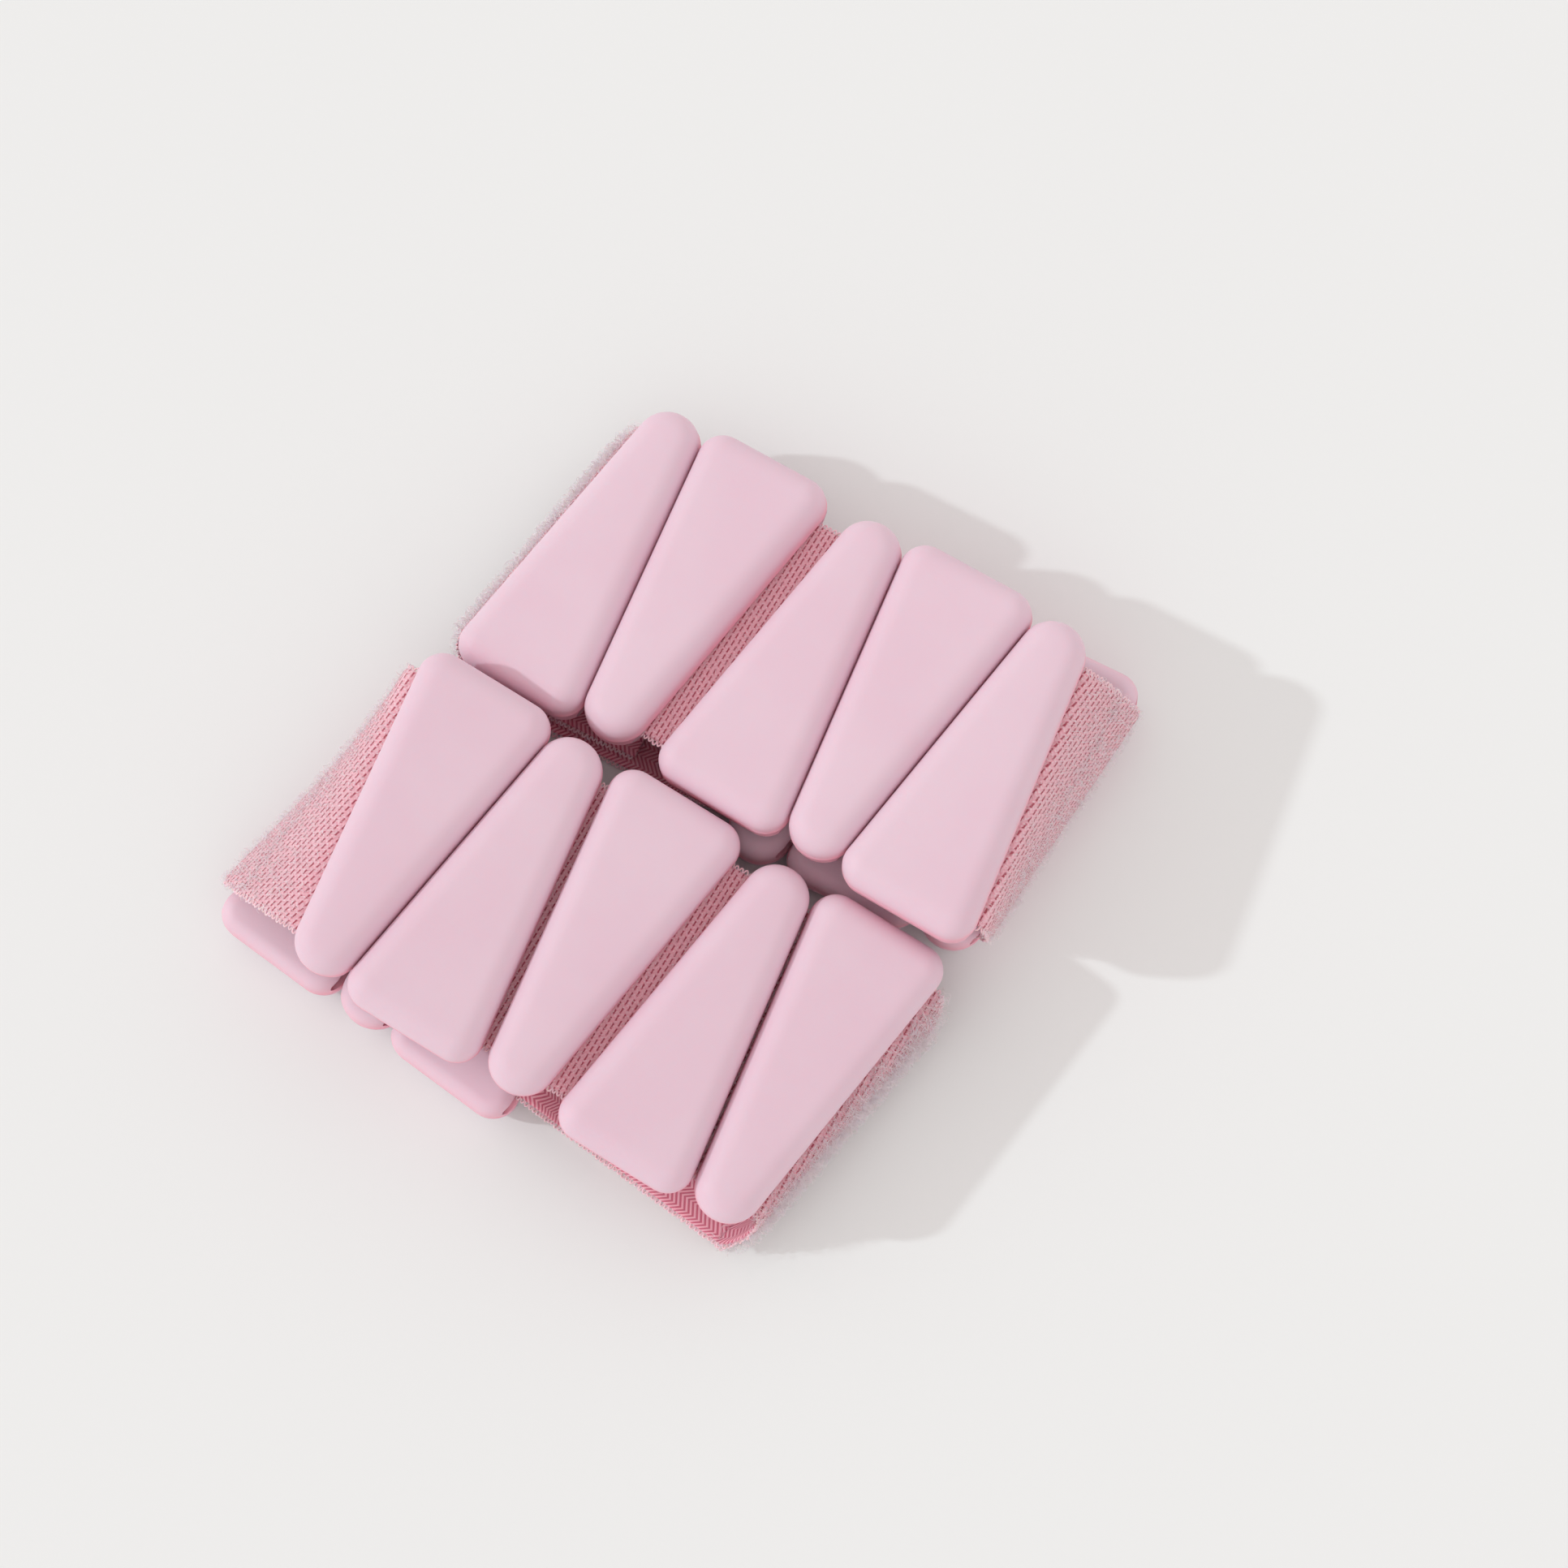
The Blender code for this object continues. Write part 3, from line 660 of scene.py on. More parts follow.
def strapSheet(name, rows, run, columns, material, outerSign):
    # a closed sheet round rows of middle points, ribbed on its outer side, thin and round at its edges
    along = np.gradient(rows, axis=0)
    across = np.gradient(rows, axis=1)
    normals = np.cross(along, across)
    normals /= np.linalg.norm(normals, axis=2, keepdims=True)
    normals *= outerSign
    edge = np.clip((strap["width"] / 2 - np.abs(columns)) / strap["edgeReach"], 0, 1)
    body = strap["edgeThickness"] + (strap["thickness"] - strap["edgeThickness"]) * np.sqrt(1 - (1 - edge) ** 2)
    ribs = strap["ribHeight"] * (np.cos(math.tau * run / strap["ribPitch"]) - 1) / 2
    outer = rows + normals * (body[None, :, None] / 2 + ribs[:, :, None])
    inner = rows - normals * (body[None, :, None] / 2 + strap["innerRibShare"] * ribs[:, :, None])
    high, wide = rows.shape[0], rows.shape[1]
    vertices = np.concatenate([outer.reshape(-1, 3), inner.reshape(-1, 3)])
    base = high * wide
    faces = []
    for i in range(high - 1):
        for j in range(wide - 1):
            a, b, c, d = i * wide + j, i * wide + j + 1, (i + 1) * wide + j + 1, (i + 1) * wide + j
            faces.append((a, b, c, d))
            faces.append((base + d, base + c, base + b, base + a))
    rim = ([i * wide for i in range(high)] + [(high - 1) * wide + j for j in range(1, wide)]
           + [i * wide + wide - 1 for i in range(high - 2, -1, -1)] + [j for j in range(wide - 2, 0, -1)])
    for first, second in zip(rim, rim[1:] + rim[:1]):
        faces.append((first, second, base + second, base + first))
    obj = meshObject(name, vertices, faces, material)
    pointFacesOut(obj)
    weaveMap = obj.data.uv_layers.new(name="weave")
    flatRun, flatAcross = run.reshape(-1), np.tile(columns / mm, high)
    index = np.zeros(len(obj.data.loops), np.int32)
    obj.data.loops.foreach_get("vertex_index", index)
    index = index % base
    weaveMap.data.foreach_set("uv", np.stack([flatRun[index], flatAcross[index]], 1).astype(np.float32).ravel())
    outerMask = obj.data.attributes.new("outerSide", "FLOAT", "POINT")
    outerMask.data.foreach_set("value", np.concatenate([np.ones(base), np.zeros(base)]).astype(np.float32))
    return obj, normals


yarn = {                                                  # selvedge loops, pile and hooks
    "loopPitch": 1.2 * mm, "loopLength": 0.95 * mm, "loopHeight": 1.15 * mm, "loopRadius": 0.25 * mm,
    "loopTuck": 0.25 * mm, "loopLift": 0.15 * mm, "loopTwist": 0.25, "loopSizes": (0.85, 1.12), "loopSeed": 11,
    "loopSteps": 9, "loopSides": 6, "loopStart": math.radians(-35), "loopSweep": math.radians(250),
    "pileDensity": {"bend": 2.4e6, "turn": 4.4e6}, "pileRadius": 0.045 * mm, "pileSeed": 7, "pileFade": 0.8,
    "pileLength": {"bend": 2.2 * mm, "turn": 3.4 * mm},
    "fibreSteps": 5, "fibreSides": 3, "fibreLean": 0.5, "fibreSizes": (0.45, 1.1),
    "fibreBow": {"Start": (0, 0, -0.05), "Middle": (0.35, 0, 1.15), "End": (0.75, 0, 0.25)},
    "hookPitch": 1.5 * mm, "hookLength": 0.8 * mm, "hookHeight": 0.7 * mm, "hookRadius": 0.13 * mm,
    "tapeRound": 0.12 * mm,
}


def newGeometryTree(name, inputs):
    tree = bpy.data.node_groups.new(name, "GeometryNodeTree")
    tree.interface.new_socket("Geometry", in_out="INPUT", socket_type="NodeSocketGeometry")
    for label, kind in inputs:
        tree.interface.new_socket(label, in_out="INPUT", socket_type=kind)
    tree.interface.new_socket("Geometry", in_out="OUTPUT", socket_type="NodeSocketGeometry")
    return tree, tree.nodes.new("NodeGroupInput"), tree.nodes.new("NodeGroupOutput")


def attributeNode(tree, name, kind):
    node = tree.nodes.new("GeometryNodeInputNamedAttribute")
    node.data_type = kind
    node.inputs["Name"].default_value = name
    return node.outputs["Attribute"]


def endTree(tree, instances, start, end):
    realize = tree.nodes.new("GeometryNodeRealizeInstances")
    finish = tree.nodes.new("GeometryNodeSetMaterial")
    smooth = tree.nodes.new("GeometryNodeSetShadeSmooth")
    tree.links.new(instances, realize.inputs["Geometry"])
    tree.links.new(realize.outputs["Geometry"], smooth.inputs["Geometry"])
    tree.links.new(smooth.outputs["Geometry"], finish.inputs["Geometry"])
    tree.links.new(start.outputs["Material"], finish.inputs["Material"])
    tree.links.new(finish.outputs["Geometry"], end.inputs["Geometry"])


def loopTree():                                           # a small yarn loop on each point
    tree, start, end = newGeometryTree("yarnLoops", [
        ("Loop Length", "NodeSocketFloat"), ("Loop Height", "NodeSocketFloat"),
        ("Yarn Radius", "NodeSocketFloat"), ("Material", "NodeSocketMaterial")])
    arc = tree.nodes.new("GeometryNodeCurveArc")
    arc.mode = "RADIUS"
    arc.inputs["Resolution"].default_value = yarn["loopSteps"]
    arc.inputs["Radius"].default_value = 1.0
    arc.inputs["Start Angle"].default_value = yarn["loopStart"]
    arc.inputs["Sweep Angle"].default_value = yarn["loopSweep"]
    size = tree.nodes.new("ShaderNodeCombineXYZ")
    tree.links.new(mathNode(tree, "MULTIPLY", start.outputs["Loop Length"], 0.5), size.inputs["X"])
    tree.links.new(start.outputs["Loop Height"], size.inputs["Y"])
    size.inputs["Z"].default_value = 1.0
    shape = tree.nodes.new("GeometryNodeTransform")
    tree.links.new(arc.outputs["Curve"], shape.inputs["Geometry"])
    tree.links.new(size.outputs[0], shape.inputs["Scale"])
    section = tree.nodes.new("GeometryNodeCurvePrimitiveCircle")
    section.inputs["Resolution"].default_value = yarn["loopSides"]
    tree.links.new(start.outputs["Yarn Radius"], section.inputs["Radius"])
    tube = tree.nodes.new("GeometryNodeCurveToMesh")
    tube.inputs["Fill Caps"].default_value = True
    tree.links.new(shape.outputs["Geometry"], tube.inputs["Curve"])
    tree.links.new(section.outputs["Curve"], tube.inputs["Profile Curve"])
    turn = tree.nodes.new("FunctionNodeAxesToRotation")
    turn.primary_axis, turn.secondary_axis = "X", "Y"
    tree.links.new(attributeNode(tree, "along", "FLOAT_VECTOR"), turn.inputs["Primary Axis"])
    tree.links.new(attributeNode(tree, "outward", "FLOAT_VECTOR"), turn.inputs["Secondary Axis"])
    each = tree.nodes.new("GeometryNodeInstanceOnPoints")
    tree.links.new(start.outputs["Geometry"], each.inputs["Points"])
    tree.links.new(tube.outputs["Mesh"], each.inputs["Instance"])
    tree.links.new(turn.outputs["Rotation"], each.inputs["Rotation"])
    tree.links.new(attributeNode(tree, "size", "FLOAT"), each.inputs["Scale"])
    endTree(tree, each.outputs["Instances"], start, end)
    return tree


def pileTree():                                           # bent fibres standing on the outer side
    tree, start, end = newGeometryTree("loopPile", [
        ("Density", "NodeSocketFloat"), ("Fibre Length", "NodeSocketFloat"),
        ("Fibre Radius", "NodeSocketFloat"), ("Seed", "NodeSocketInt"), ("Material", "NodeSocketMaterial")])
    spread = tree.nodes.new("GeometryNodeDistributePointsOnFaces")
    density = mathNode(tree, "MULTIPLY", start.outputs["Density"], attributeNode(tree, "pile", "FLOAT"))
    tree.links.new(start.outputs["Geometry"], spread.inputs["Mesh"])
    tree.links.new(density, spread.inputs["Density"])
    tree.links.new(start.outputs["Seed"], spread.inputs["Seed"])
    bow = tree.nodes.new("GeometryNodeCurveQuadraticBezier")
    bow.inputs["Resolution"].default_value = yarn["fibreSteps"]
    setSockets(bow, yarn["fibreBow"])
    grow = tree.nodes.new("GeometryNodeTransform")
    tree.links.new(bow.outputs["Curve"], grow.inputs["Geometry"])
    tree.links.new(start.outputs["Fibre Length"], grow.inputs["Scale"])
    section = tree.nodes.new("GeometryNodeCurvePrimitiveCircle")
    section.inputs["Resolution"].default_value = yarn["fibreSides"]
    tree.links.new(start.outputs["Fibre Radius"], section.inputs["Radius"])
    tube = tree.nodes.new("GeometryNodeCurveToMesh")
    tube.inputs["Fill Caps"].default_value = True
    tree.links.new(grow.outputs["Geometry"], tube.inputs["Curve"])
    tree.links.new(section.outputs["Curve"], tube.inputs["Profile Curve"])
    spin = tree.nodes.new("FunctionNodeRandomValue")
    spin.data_type = "FLOAT_VECTOR"
    spin.inputs["Min"].default_value = (-yarn["fibreLean"], -yarn["fibreLean"], 0)
    spin.inputs["Max"].default_value = (yarn["fibreLean"], yarn["fibreLean"], math.tau)
    tree.links.new(start.outputs["Seed"], spin.inputs["Seed"])
    turn = tree.nodes.new("FunctionNodeRotateRotation")
    turn.rotation_space = "LOCAL"
    lean = tree.nodes.new("FunctionNodeEulerToRotation")
    tree.links.new(spin.outputs["Value"], lean.inputs["Euler"])
    tree.links.new(spread.outputs["Rotation"], turn.inputs["Rotation"])
    tree.links.new(lean.outputs["Rotation"], turn.inputs["Rotate By"])
    size = tree.nodes.new("FunctionNodeRandomValue")
    size.data_type = "FLOAT"
    size.inputs[2].default_value, size.inputs[3].default_value = yarn["fibreSizes"]
    tree.links.new(start.outputs["Seed"], size.inputs["Seed"])
    each = tree.nodes.new("GeometryNodeInstanceOnPoints")
    tree.links.new(spread.outputs["Points"], each.inputs["Points"])
    tree.links.new(tube.outputs["Mesh"], each.inputs["Instance"])
    tree.links.new(turn.outputs["Rotation"], each.inputs["Rotation"])
    tree.links.new(size.outputs[1], each.inputs["Scale"])
    endTree(tree, each.outputs["Instances"], start, end)
    return tree


def grown(name, source, tree, values):                    # the tree's result on an object, as a plain mesh
    modifier = source.modifiers.new("grow", "NODES")
    modifier.node_group = tree
    for item in tree.interface.items_tree:
        if item.in_out == "INPUT" and item.name in values:
            modifier[item.identifier] = values[item.name]
    mesh = evaluatedMesh(source, name)
    source.modifiers.remove(modifier)
    obj = bpy.data.objects.new(name, mesh)
    bpy.context.scene.collection.objects.link(obj)
    return obj


def pointCloud(name, points, along, outward, size):
    source = meshObject(name, points, [])
    for label, vectors in (("along", along), ("outward", outward)):
        attribute = source.data.attributes.new(label, "FLOAT_VECTOR", "POINT")
        attribute.data.foreach_set("vector", np.array(vectors, np.float32).ravel())
    attribute = source.data.attributes.new("size", "FLOAT", "POINT")
    attribute.data.foreach_set("value", np.array(size, np.float32))
    return source


def selvedgeLoops(name, rows, normals):                   # yarn loops along both edges of a sheet
    points, along, outward, sizes = [], [], [], []
    noise = np.random.default_rng(yarn["loopSeed"])
    for edge, inward in ((0, 1), (-1, -2)):
        line, lifts = rows[:, edge], normals[:, edge]
        side = line - rows[:, inward]
        side /= np.linalg.norm(side, axis=1, keepdims=True)
        lengths = np.concatenate([[0], np.cumsum(np.linalg.norm(np.diff(line, axis=0), axis=1))])
        for at in np.arange(yarn["loopPitch"] / 2, lengths[-1], yarn["loopPitch"]):
            here = np.array([np.interp(at, lengths, line[:, k]) for k in range(3)])
            index = min(int(np.searchsorted(lengths, at)), len(line) - 1)
            way = line[index] - line[index - 1]
            points.append(here - side[index] * yarn["loopTuck"] + lifts[index] * yarn["loopLift"])
            along.append(way / np.linalg.norm(way))
            outward.append(side[index] + yarn["loopTwist"] * lifts[index] * noise.uniform(-1, 1))
            sizes.append(noise.uniform(*yarn["loopSizes"]))
    source = pointCloud(name + "_points", points, along, outward, sizes)
    loops = grown(name, source, trees["loops"], {
        "Loop Length": yarn["loopLength"], "Loop Height": yarn["loopHeight"],
        "Yarn Radius": yarn["loopRadius"], "Material": finish["selvedge"]})
    dropObject(source)
    return loops


def pileOn(name, sheet, place, weight):
    # weight says how thick the pile stands at each row and column, 0 to 1
    source = sheet.copy()
    source.data = sheet.data.copy()
    bpy.context.scene.collection.objects.link(source)
    mask = source.data.attributes.new("pile", "FLOAT", "POINT")
    mask.data.foreach_set("value", np.concatenate([weight.ravel(), np.zeros(weight.size)]).astype(np.float32))
    fibres = grown(name, source, trees["pile"], {
        "Density": yarn["pileDensity"][place], "Fibre Length": yarn["pileLength"][place],
        "Fibre Radius": yarn["pileRadius"], "Seed": yarn["pileSeed"], "Material": finish["pile"]})
    dropObject(source)
    return fibres


def blendHere(pieces, first, second, point, way, reach):
    # bakes each piece's place into its mesh
    for piece in pieces:
        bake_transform(piece)


def rideAll(pieces, body):
    for piece in pieces:
        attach(piece, body)


def squareTo(axis, way):                                  # the part of a direction that is square to an axis
    return (way - axis * way.dot(axis)).normalized()


def midSlot(band, number, nudge=0.0):                     # x at a weight's middle, for every y
    x = inRow(band, number, places[band][number].translation).x
    return lambda y: x + nudge


def mouth(band, number, side):                            # x just outside a slot's mouth, at each y
    return lambda y: flankAt(band, number, side, y) + side * strap["mouthGap"]


def makeSpan(band, right, left, fine):                    # the strap between two neighbours in one row
    columns = columnsOf(strap["fineColumns"] if fine else strap["coarseColumns"])
    step = strap["fineStep"] if fine else strap["coarseStep"]
    starts, ends = midSlot(band, right, -strap["seam"]), midSlot(band, left, strap["seam"])
    rows, run = straightRows(band, right, starts, ends, columns, step)
    name = f"{band}_strapSpan_{right}{left}"
    sheet, normals = strapSheet(name, rows, run, columns, finish["knit"], outerSignOf(band, right, rows))
    pieces = [sheet]
    if fine:
        pieces.append(selvedgeLoops(f"{band}_spanLoops_{right}{left}", rows, normals))
    point, axis = jointOf(f"{band}_flex_{left}")
    way = squareTo(axis, rowAxes(band, right).to_3x3() @ Vector((-1, 0, 0)))
    bodies = [bodyWith(f"{band}_strap_{number}") for number in (right, left)]
    blendHere(pieces, *bodies, point, way, [strap["spanBlend"]] * 2)
    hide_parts(f"{band}_strap_{left}")


def outerSignOf(band, number, rows):
    # +1 or -1, so that the sheet's outer side is the one that the weights' outer faces look to
    normal = np.cross(rows[1, 0] - rows[0, 0], rows[0, 1] - rows[0, 0])
    return 1 if normal @ np.array(rowAxes(band, number).col[2][:3]) > 0 else -1


def makeBend(band):                                       # from weight 6 round to weight 5, in two halves
    columns, step, seam = columnsOf(strap["fineColumns"]), strap["fineStep"], strap["seam"]
    lowRows, lowRun = straightRows(band, 6, midSlot(band, 6, seam), mouth(band, 6, 1), columns, step)
    topRows = straightRows(band, 5, mouth(band, 5, 1), midSlot(band, 5, seam), columns, step)[0]
    near, far = strap["bendReach"][band]
    reaches = near + (far - near) * (columns / strap["width"] + 0.5)
    lowWay = np.array(places[band][6].col[0][:3])
    topWay = np.array(places[band][5].col[0][:3])
    turnRows, turnRun = curveRows(lowRows[-1], lowWay, topRows[0], topWay, reaches, step, lowRun[-1])
    topSteps = np.linalg.norm(np.diff(topRows, axis=0), axis=2) / mm
    topRun = turnRun[-1] + np.cumsum(np.vstack([np.zeros(len(columns)), topSteps]), axis=0)
    rows, run = joinRows((lowRows, lowRun), (turnRows, turnRun), (topRows, topRun))
    outerSign = outerSignOf(band, 6, rows)
    weight = np.zeros(run.shape)                          # the pile thins out from the lower mouth to the upper
    firstTurn, lastTurn = len(lowRows) - 3, len(lowRows) + len(turnRows) + 2
    fade = np.linspace(1.0, 0.0, lastTurn - firstTurn)[:, None]
    weight[firstTurn:lastTurn] = fade ** yarn["pileFade"]
    split = len(lowRows) + len(turnRows) // 2
    before, after = strap["bendBlend"]
    halves = [("Low", slice(0, split + 1), ("base", "bend"), "fold", lowWay, (before, after), (6, "bend")),
              ("Top", slice(split, len(rows)), ("bend", "link_5"), "fold_top", -topWay, (after, before), (5,))]
    for label, part, bodies, joint, out, reach, replaced in halves:
        point, axis = jointOf(f"{band}_{joint}")
        sheet, normals = strapSheet(f"{band}_strapBend{label}", rows[part], run[part], columns, finish["knit"],
                                    outerSign)
        loops = selvedgeLoops(f"{band}_bendLoops{label}", rows[part], normals)
        pile = pileOn(f"{band}_bendPile{label}", sheet, "bend", weight[part])
        pieces = [sheet, loops, pile]
        way = (Vector(out) * strap["bendOut"] + Vector((0, 0, 1)) * strap["bendUp"]).normalized()
        blendHere(pieces, *[f"{band}_{body}" for body in bodies], point, squareTo(axis, way), reach)
        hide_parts(*[f"{band}_strap_{end}" for end in replaced])


def lowWays(band):                                        # along the lower row, and level across it
    along = Vector(places[band][6].col[0][:3])
    return along, Vector((-along.y, along.x, 0))


def makeTurn(band):                                       # from weight 1 down and back under it, with its pile
    columns, step = columnsOf(strap["fineColumns"]), strap["fineStep"]
    along, side = lowWays(band)
    point, axis = jointOf(f"{band}_tail_peel")
    starts = midSlot(band, 1, -strap["seam"])
    firstRows, firstRun = straightRows(band, 1, starts, mouth(band, 1, -1), columns, step)
    skew = (axis - side * axis.dot(side)).dot(along) / axis.dot(side)     # the fold line runs off square
    ends = [point + side * column + along * (skew * column) for column in columns]
    topWay = -np.array(places[band][5].col[0][:3])
    reaches = np.full(len(columns), strap["turnReach"])
    turnRows, turnRun = curveRows(firstRows[-1], topWay, ends, -np.array(along), reaches, step, -firstRun[-1])
    rows, run = joinRows((firstRows, -firstRun), (turnRows, turnRun))
    sign = outerSignOf(band, 1, rows)
    sheet, normals = strapSheet(f"{band}_strapTurn", rows, run, columns, finish["knit"], sign)
    weight = np.zeros(run.shape)
    weight[len(firstRows) + 2:] = 1.0
    pieces = [sheet, selvedgeLoops(f"{band}_turnLoops", rows, normals),
              pileOn(f"{band}_turnPile", sheet, "turn", weight)]
    rideAll(pieces, f"{band}_link_1")
    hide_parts(f"{band}_strap_turn")
    return turnRows[-1], turnRun[-1], sign


def makeTail(band, startRow, startRun, sign):             # from the turn along the hook tab to the strap's end
    columns = columnsOf(strap["fineColumns"])
    along = lowWays(band)[0]
    point, axis = jointOf(f"{band}_tail_peel")
    tailEnd = max((Vector(p) - point).dot(along) for p in nodePoints(f"{band}_strap_tail")) - strap["tailTrim"]
    lengths = [tailEnd - (Vector(p) - point).dot(along) for p in startRow]
    count = math.ceil(max(lengths) / (2 * strap["fineStep"]))
    rows, run = [], []
    for share in np.linspace(0, 1, count + 1):
        rows.append([Vector(p) + along * (length * share) for p, length in zip(startRow, lengths)])
        run.append(startRun + np.array(lengths) / mm * share)
    rows, run = np.array(rows, float), np.array(run)
    sheet, normals = strapSheet(f"{band}_strapTail", rows, run, columns, finish["knit"], sign)
    pieces = [sheet, selvedgeLoops(f"{band}_tailLoops", rows, normals)]
    blendHere(pieces, f"{band}_link_1", f"{band}_tail", point, squareTo(axis, along), strap["tailBlend"])
    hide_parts(f"{band}_strap_tail")


def makeTab(band):                                        # from weight 8 down a ramp and flat along the table
    columns, step = columnsOf(strap["fineColumns"]), strap["fineStep"]
    along, side = lowWays(band)
    start = rowPoint(band, 8, 0, strapMiddle(band, 8))
    starts = midSlot(band, 8, -strap["seam"])
    firstRows, firstRun = straightRows(band, 8, starts, mouth(band, 8, -1), columns, step)
    points = [Vector(p) for p in nodePoints(f"{band}_hook_tab")]
    low = min(p.z for p in points)
    reach = [(p - start).dot(along) for p in points if p.z < low + strap["tabUnderside"]]
    drop = Vector((0, 0, low + strap["tabLevel"] - start.z))
    ends = [start + along * max(reach) + side * c + drop for c in columns]
    outs = [start + along * min(reach) + side * c + drop for c in columns]
    reaches = np.full(len(columns), strap["rampReach"])
    away, back = -np.array(along), np.array(along)
    rampRows, rampRun = curveRows(firstRows[-1], away, ends, back, reaches, step, -firstRun[-1])
    count = math.ceil((max(reach) - min(reach)) / (2 * step))
    shares = np.linspace(0, 1, count + 1)[:, None, None]
    flatRows = np.array(ends, float)[None] * (1 - shares) + np.array(outs, float)[None] * shares
    flatRun = rampRun[-1][None] + shares[:, :, 0] * (max(reach) - min(reach)) / mm
    rows, run = joinRows((firstRows, -firstRun), (rampRows, rampRun), (flatRows, flatRun))
    sign = outerSignOf(band, 8, rows)
    sheet, normals = strapSheet(f"{band}_strapTab", rows, run, columns, finish["knit"], sign)
    pieces = [sheet, selvedgeLoops(f"{band}_tabLoops", rows, normals)]
    rideAll(pieces, f"{band}_link_8")
    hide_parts(f"{band}_hook_tab")
    makeHookPatch(band, start, along, side)


def makeHookPatch(band, start, along, side):              # a thin tape set with small hooks
    points = [Vector(p) for p in nodePoints(f"{band}_hook_patch")]
    low, high = min(p.z for p in points), max(p.z for p in points)
    runs = [(p - start).dot(along) for p in points]
    acrosses = [(p - start).dot(side) for p in points]
    firstRun, lastRun, firstAcross, lastAcross = min(runs), max(runs), min(acrosses), max(acrosses)
    tape = high - yarn["hookHeight"] - low
    corners = [start + along * u + side * v for u, v in ((firstRun, firstAcross), (lastRun, firstAcross),
                                                         (lastRun, lastAcross), (firstRun, lastAcross))]
    vertices = [Vector((c.x, c.y, z)) for z in (low, low + tape) for c in corners]
    faces = [(3, 2, 1, 0), (4, 5, 6, 7), (0, 1, 5, 4), (1, 2, 6, 5), (2, 3, 7, 6), (3, 0, 4, 7)]
    base = meshObject(f"{band}_hookTape", vertices, faces, finish["hook"], smooth=False)
    rounding = base.modifiers.new("rounding", "BEVEL")
    rounding.width = yarn["tapeRound"]
    rounding.segments = 2
    base.data = evaluatedMesh(base, base.name)
    base.modifiers.clear()
    pitch = yarn["hookPitch"]
    spots = [start + along * u + side * v for u in np.arange(firstRun + pitch, lastRun - pitch / 2, pitch)
             for v in np.arange(firstAcross + pitch, lastAcross - pitch / 2, pitch)]
    spots = [(spot.x, spot.y, low + tape) for spot in spots]
    source = pointCloud(f"{band}_hookPoints", spots, [along] * len(spots), [(0, 0, 1)] * len(spots),
                        [1.0] * len(spots))
    hooks = grown(f"{band}_hooks", source, trees["loops"], {
        "Loop Length": yarn["hookLength"], "Loop Height": yarn["hookHeight"] - yarn["hookRadius"],
        "Yarn Radius": yarn["hookRadius"], "Material": finish["hook"]})
    dropObject(source)
    rideAll((base, hooks), f"{band}_link_8")
    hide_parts(f"{band}_hook_patch")


studio = {
    "target": (16.25 * mm, 20.35 * mm, 0.0), "azimuth": 31.2, "elevation": 78.2, "distance": 0.581,
    "lens": 56.8, "sensor": 36,
    "sunWay": (1.59, 0.79, -1.0), "sunStrength": 0.98, "sunAngle": 2.0, "sunColour": (0.88, 0.98, 1.0),
    "fill": 0.865, "fillColour": (1.0, 0.965, 0.95),
    "floorReach": 2.0, "floorLevel": -0.06 * mm, "floorColour": (0.863, 0.866, 0.863), "floorShade": 0.985,
    "floorRoughness": 0.85,
}


def makeFloor():
    reach, level = studio["floorReach"], studio["floorLevel"]
    corners = [(-reach, -reach, level), (reach, -reach, level), (reach, reach, level), (-reach, reach, level)]
    floor = meshObject("floor", corners, [(0, 1, 2, 3)], smooth=False)
    material, tree, shader = newMaterial("paleFloor")
    coords = tree.nodes.new("ShaderNodeTexCoord")
    grain = placeGroup(tree, softGrain, Blotch_Scale=4.0, Grain_Scale=1500.0)
    tree.links.new(coords.outputs["Object"], grain.inputs["Vector"])
    shade = tuple(c * studio["floorShade"] for c in studio["floorColour"])
    colour = mixColour(tree, grain.outputs["Blotch"], studio["floorColour"], shade)
    tree.links.new(colour, shader.inputs["Base Color"])
    shader.inputs["Roughness"].default_value = studio["floorRoughness"]
    floor.data.materials.append(material)


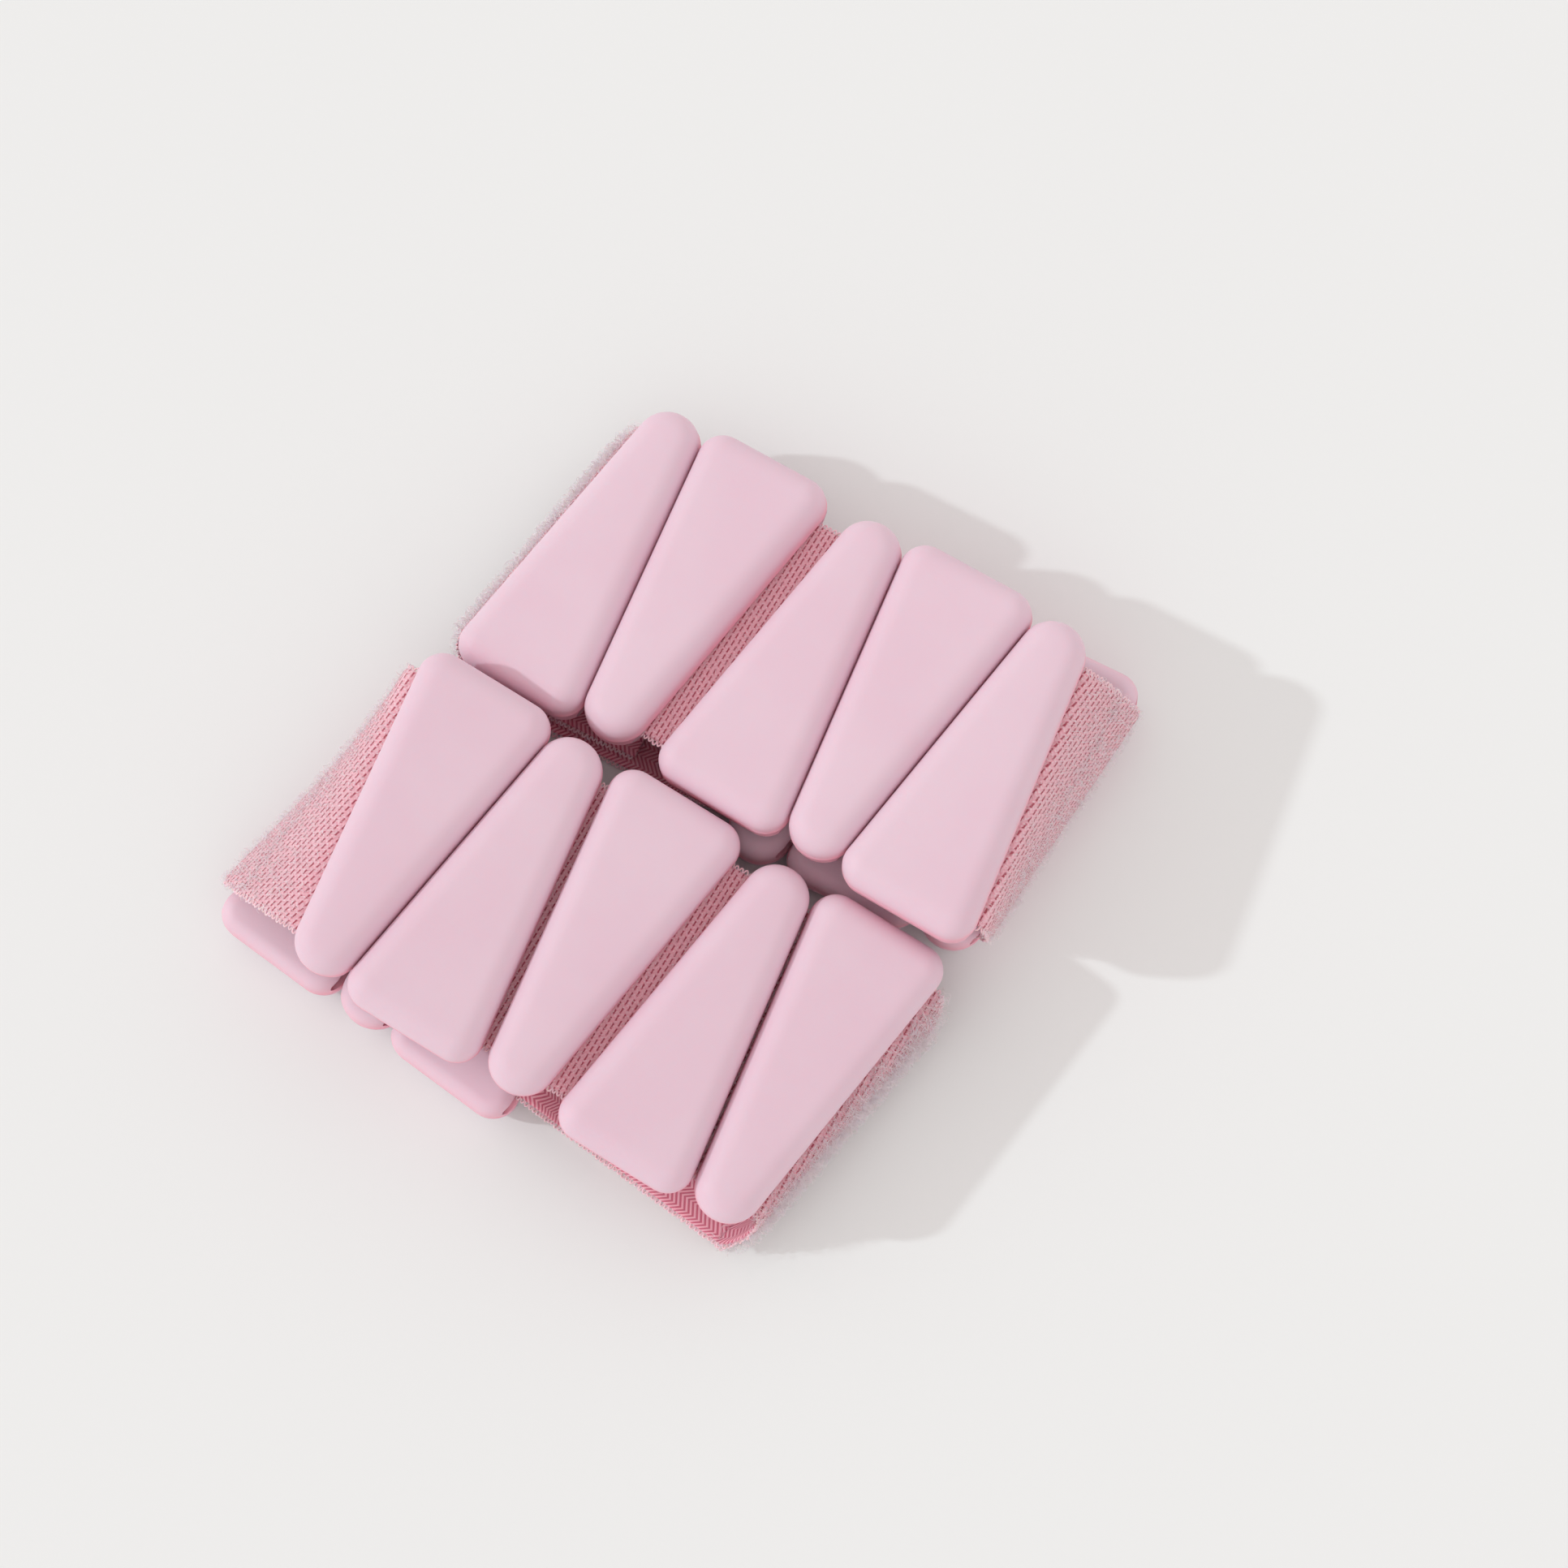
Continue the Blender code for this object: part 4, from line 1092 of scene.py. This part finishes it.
def makeLights():
    sun = bpy.data.lights.new("keyLight", "SUN")
    sun.energy = studio["sunStrength"]
    sun.angle = math.radians(studio["sunAngle"])
    sun.color = studio["sunColour"]
    lamp = bpy.data.objects.new("keyLight", sun)
    lamp.rotation_euler = Vector(studio["sunWay"]).to_track_quat("-Z", "Y").to_euler()
    bpy.context.scene.collection.objects.link(lamp)
    world = bpy.data.worlds.new("softFill")
    world.use_nodes = True
    sky = world.node_tree.nodes["Background"]
    sky.inputs["Color"].default_value = (*studio["fillColour"], 1)
    sky.inputs["Strength"].default_value = studio["fill"]
    bpy.context.scene.world = world
    bpy.context.scene.view_settings.view_transform = "Standard"


def makeCamera():
    lens = bpy.data.cameras.new("camera")
    lens.lens = studio["lens"]
    lens.sensor_width = studio["sensor"]
    camera = bpy.data.objects.new("camera", lens)
    azimuth, elevation = math.radians(studio["azimuth"]), math.radians(studio["elevation"])
    level = math.cos(elevation)
    back = Vector((math.sin(azimuth) * level, -math.cos(azimuth) * level, math.sin(elevation)))
    camera.location = Vector(studio["target"]) + back * studio["distance"]
    camera.rotation_euler = (-back).to_track_quat("-Z", "Y").to_euler()
    bpy.context.scene.collection.objects.link(camera)
    bpy.context.scene.camera = camera


softGrain = softGrainGroup()
ribbedKnit = knitGroup()
makeFloor()
makeLights()
makeCamera()
print("studio: ready")
places = {band: {number: weightPlace(band, number) for number in upperRow + lowerRow} for band in bands}
finish = {
    "silicone": siliconeMaterial(),
    "knit": knitMaterial(),
    "pile": yarnMaterial("loopPile", finishes["pile"], finishes["fleck"], looks["pile"]),
    "selvedge": yarnMaterial("selvedgeYarn", finishes["selvedge"], finishes["knitPale"], looks["selvedge"]),
    "hook": yarnMaterial("hookTape", finishes["hook"], finishes["knitDeep"], looks["hook"]),
    "steel": steelMaterial(),
}
trees = {"loops": loopTree(), "pile": pileTree()}
makeSleeves(finish["silicone"])
# gaps that show the knit, so their spans have fine ribs and selvedge loops
fineSpans = {"a": {(3, 2)}, "b": {(4, 3), (3, 2), (2, 1)}}
for band in bands:
    for pair in zip(upperRow, upperRow[1:]):
        makeSpan(band, *pair, pair in fineSpans[band])
    for pair in zip(lowerRow, lowerRow[1:]):
        makeSpan(band, *pair, False)
    makeBend(band)
    makeTail(band, *makeTurn(band))
    makeTab(band)
    print("strap of band", band, "made")
for band in bands:
    for number in upperRow + lowerRow:
        core = frame["nodes"][f"{band}_core_{number}"]
        core.data.materials.clear()
        core.data.materials.append(finish["steel"])
print("cores finished")
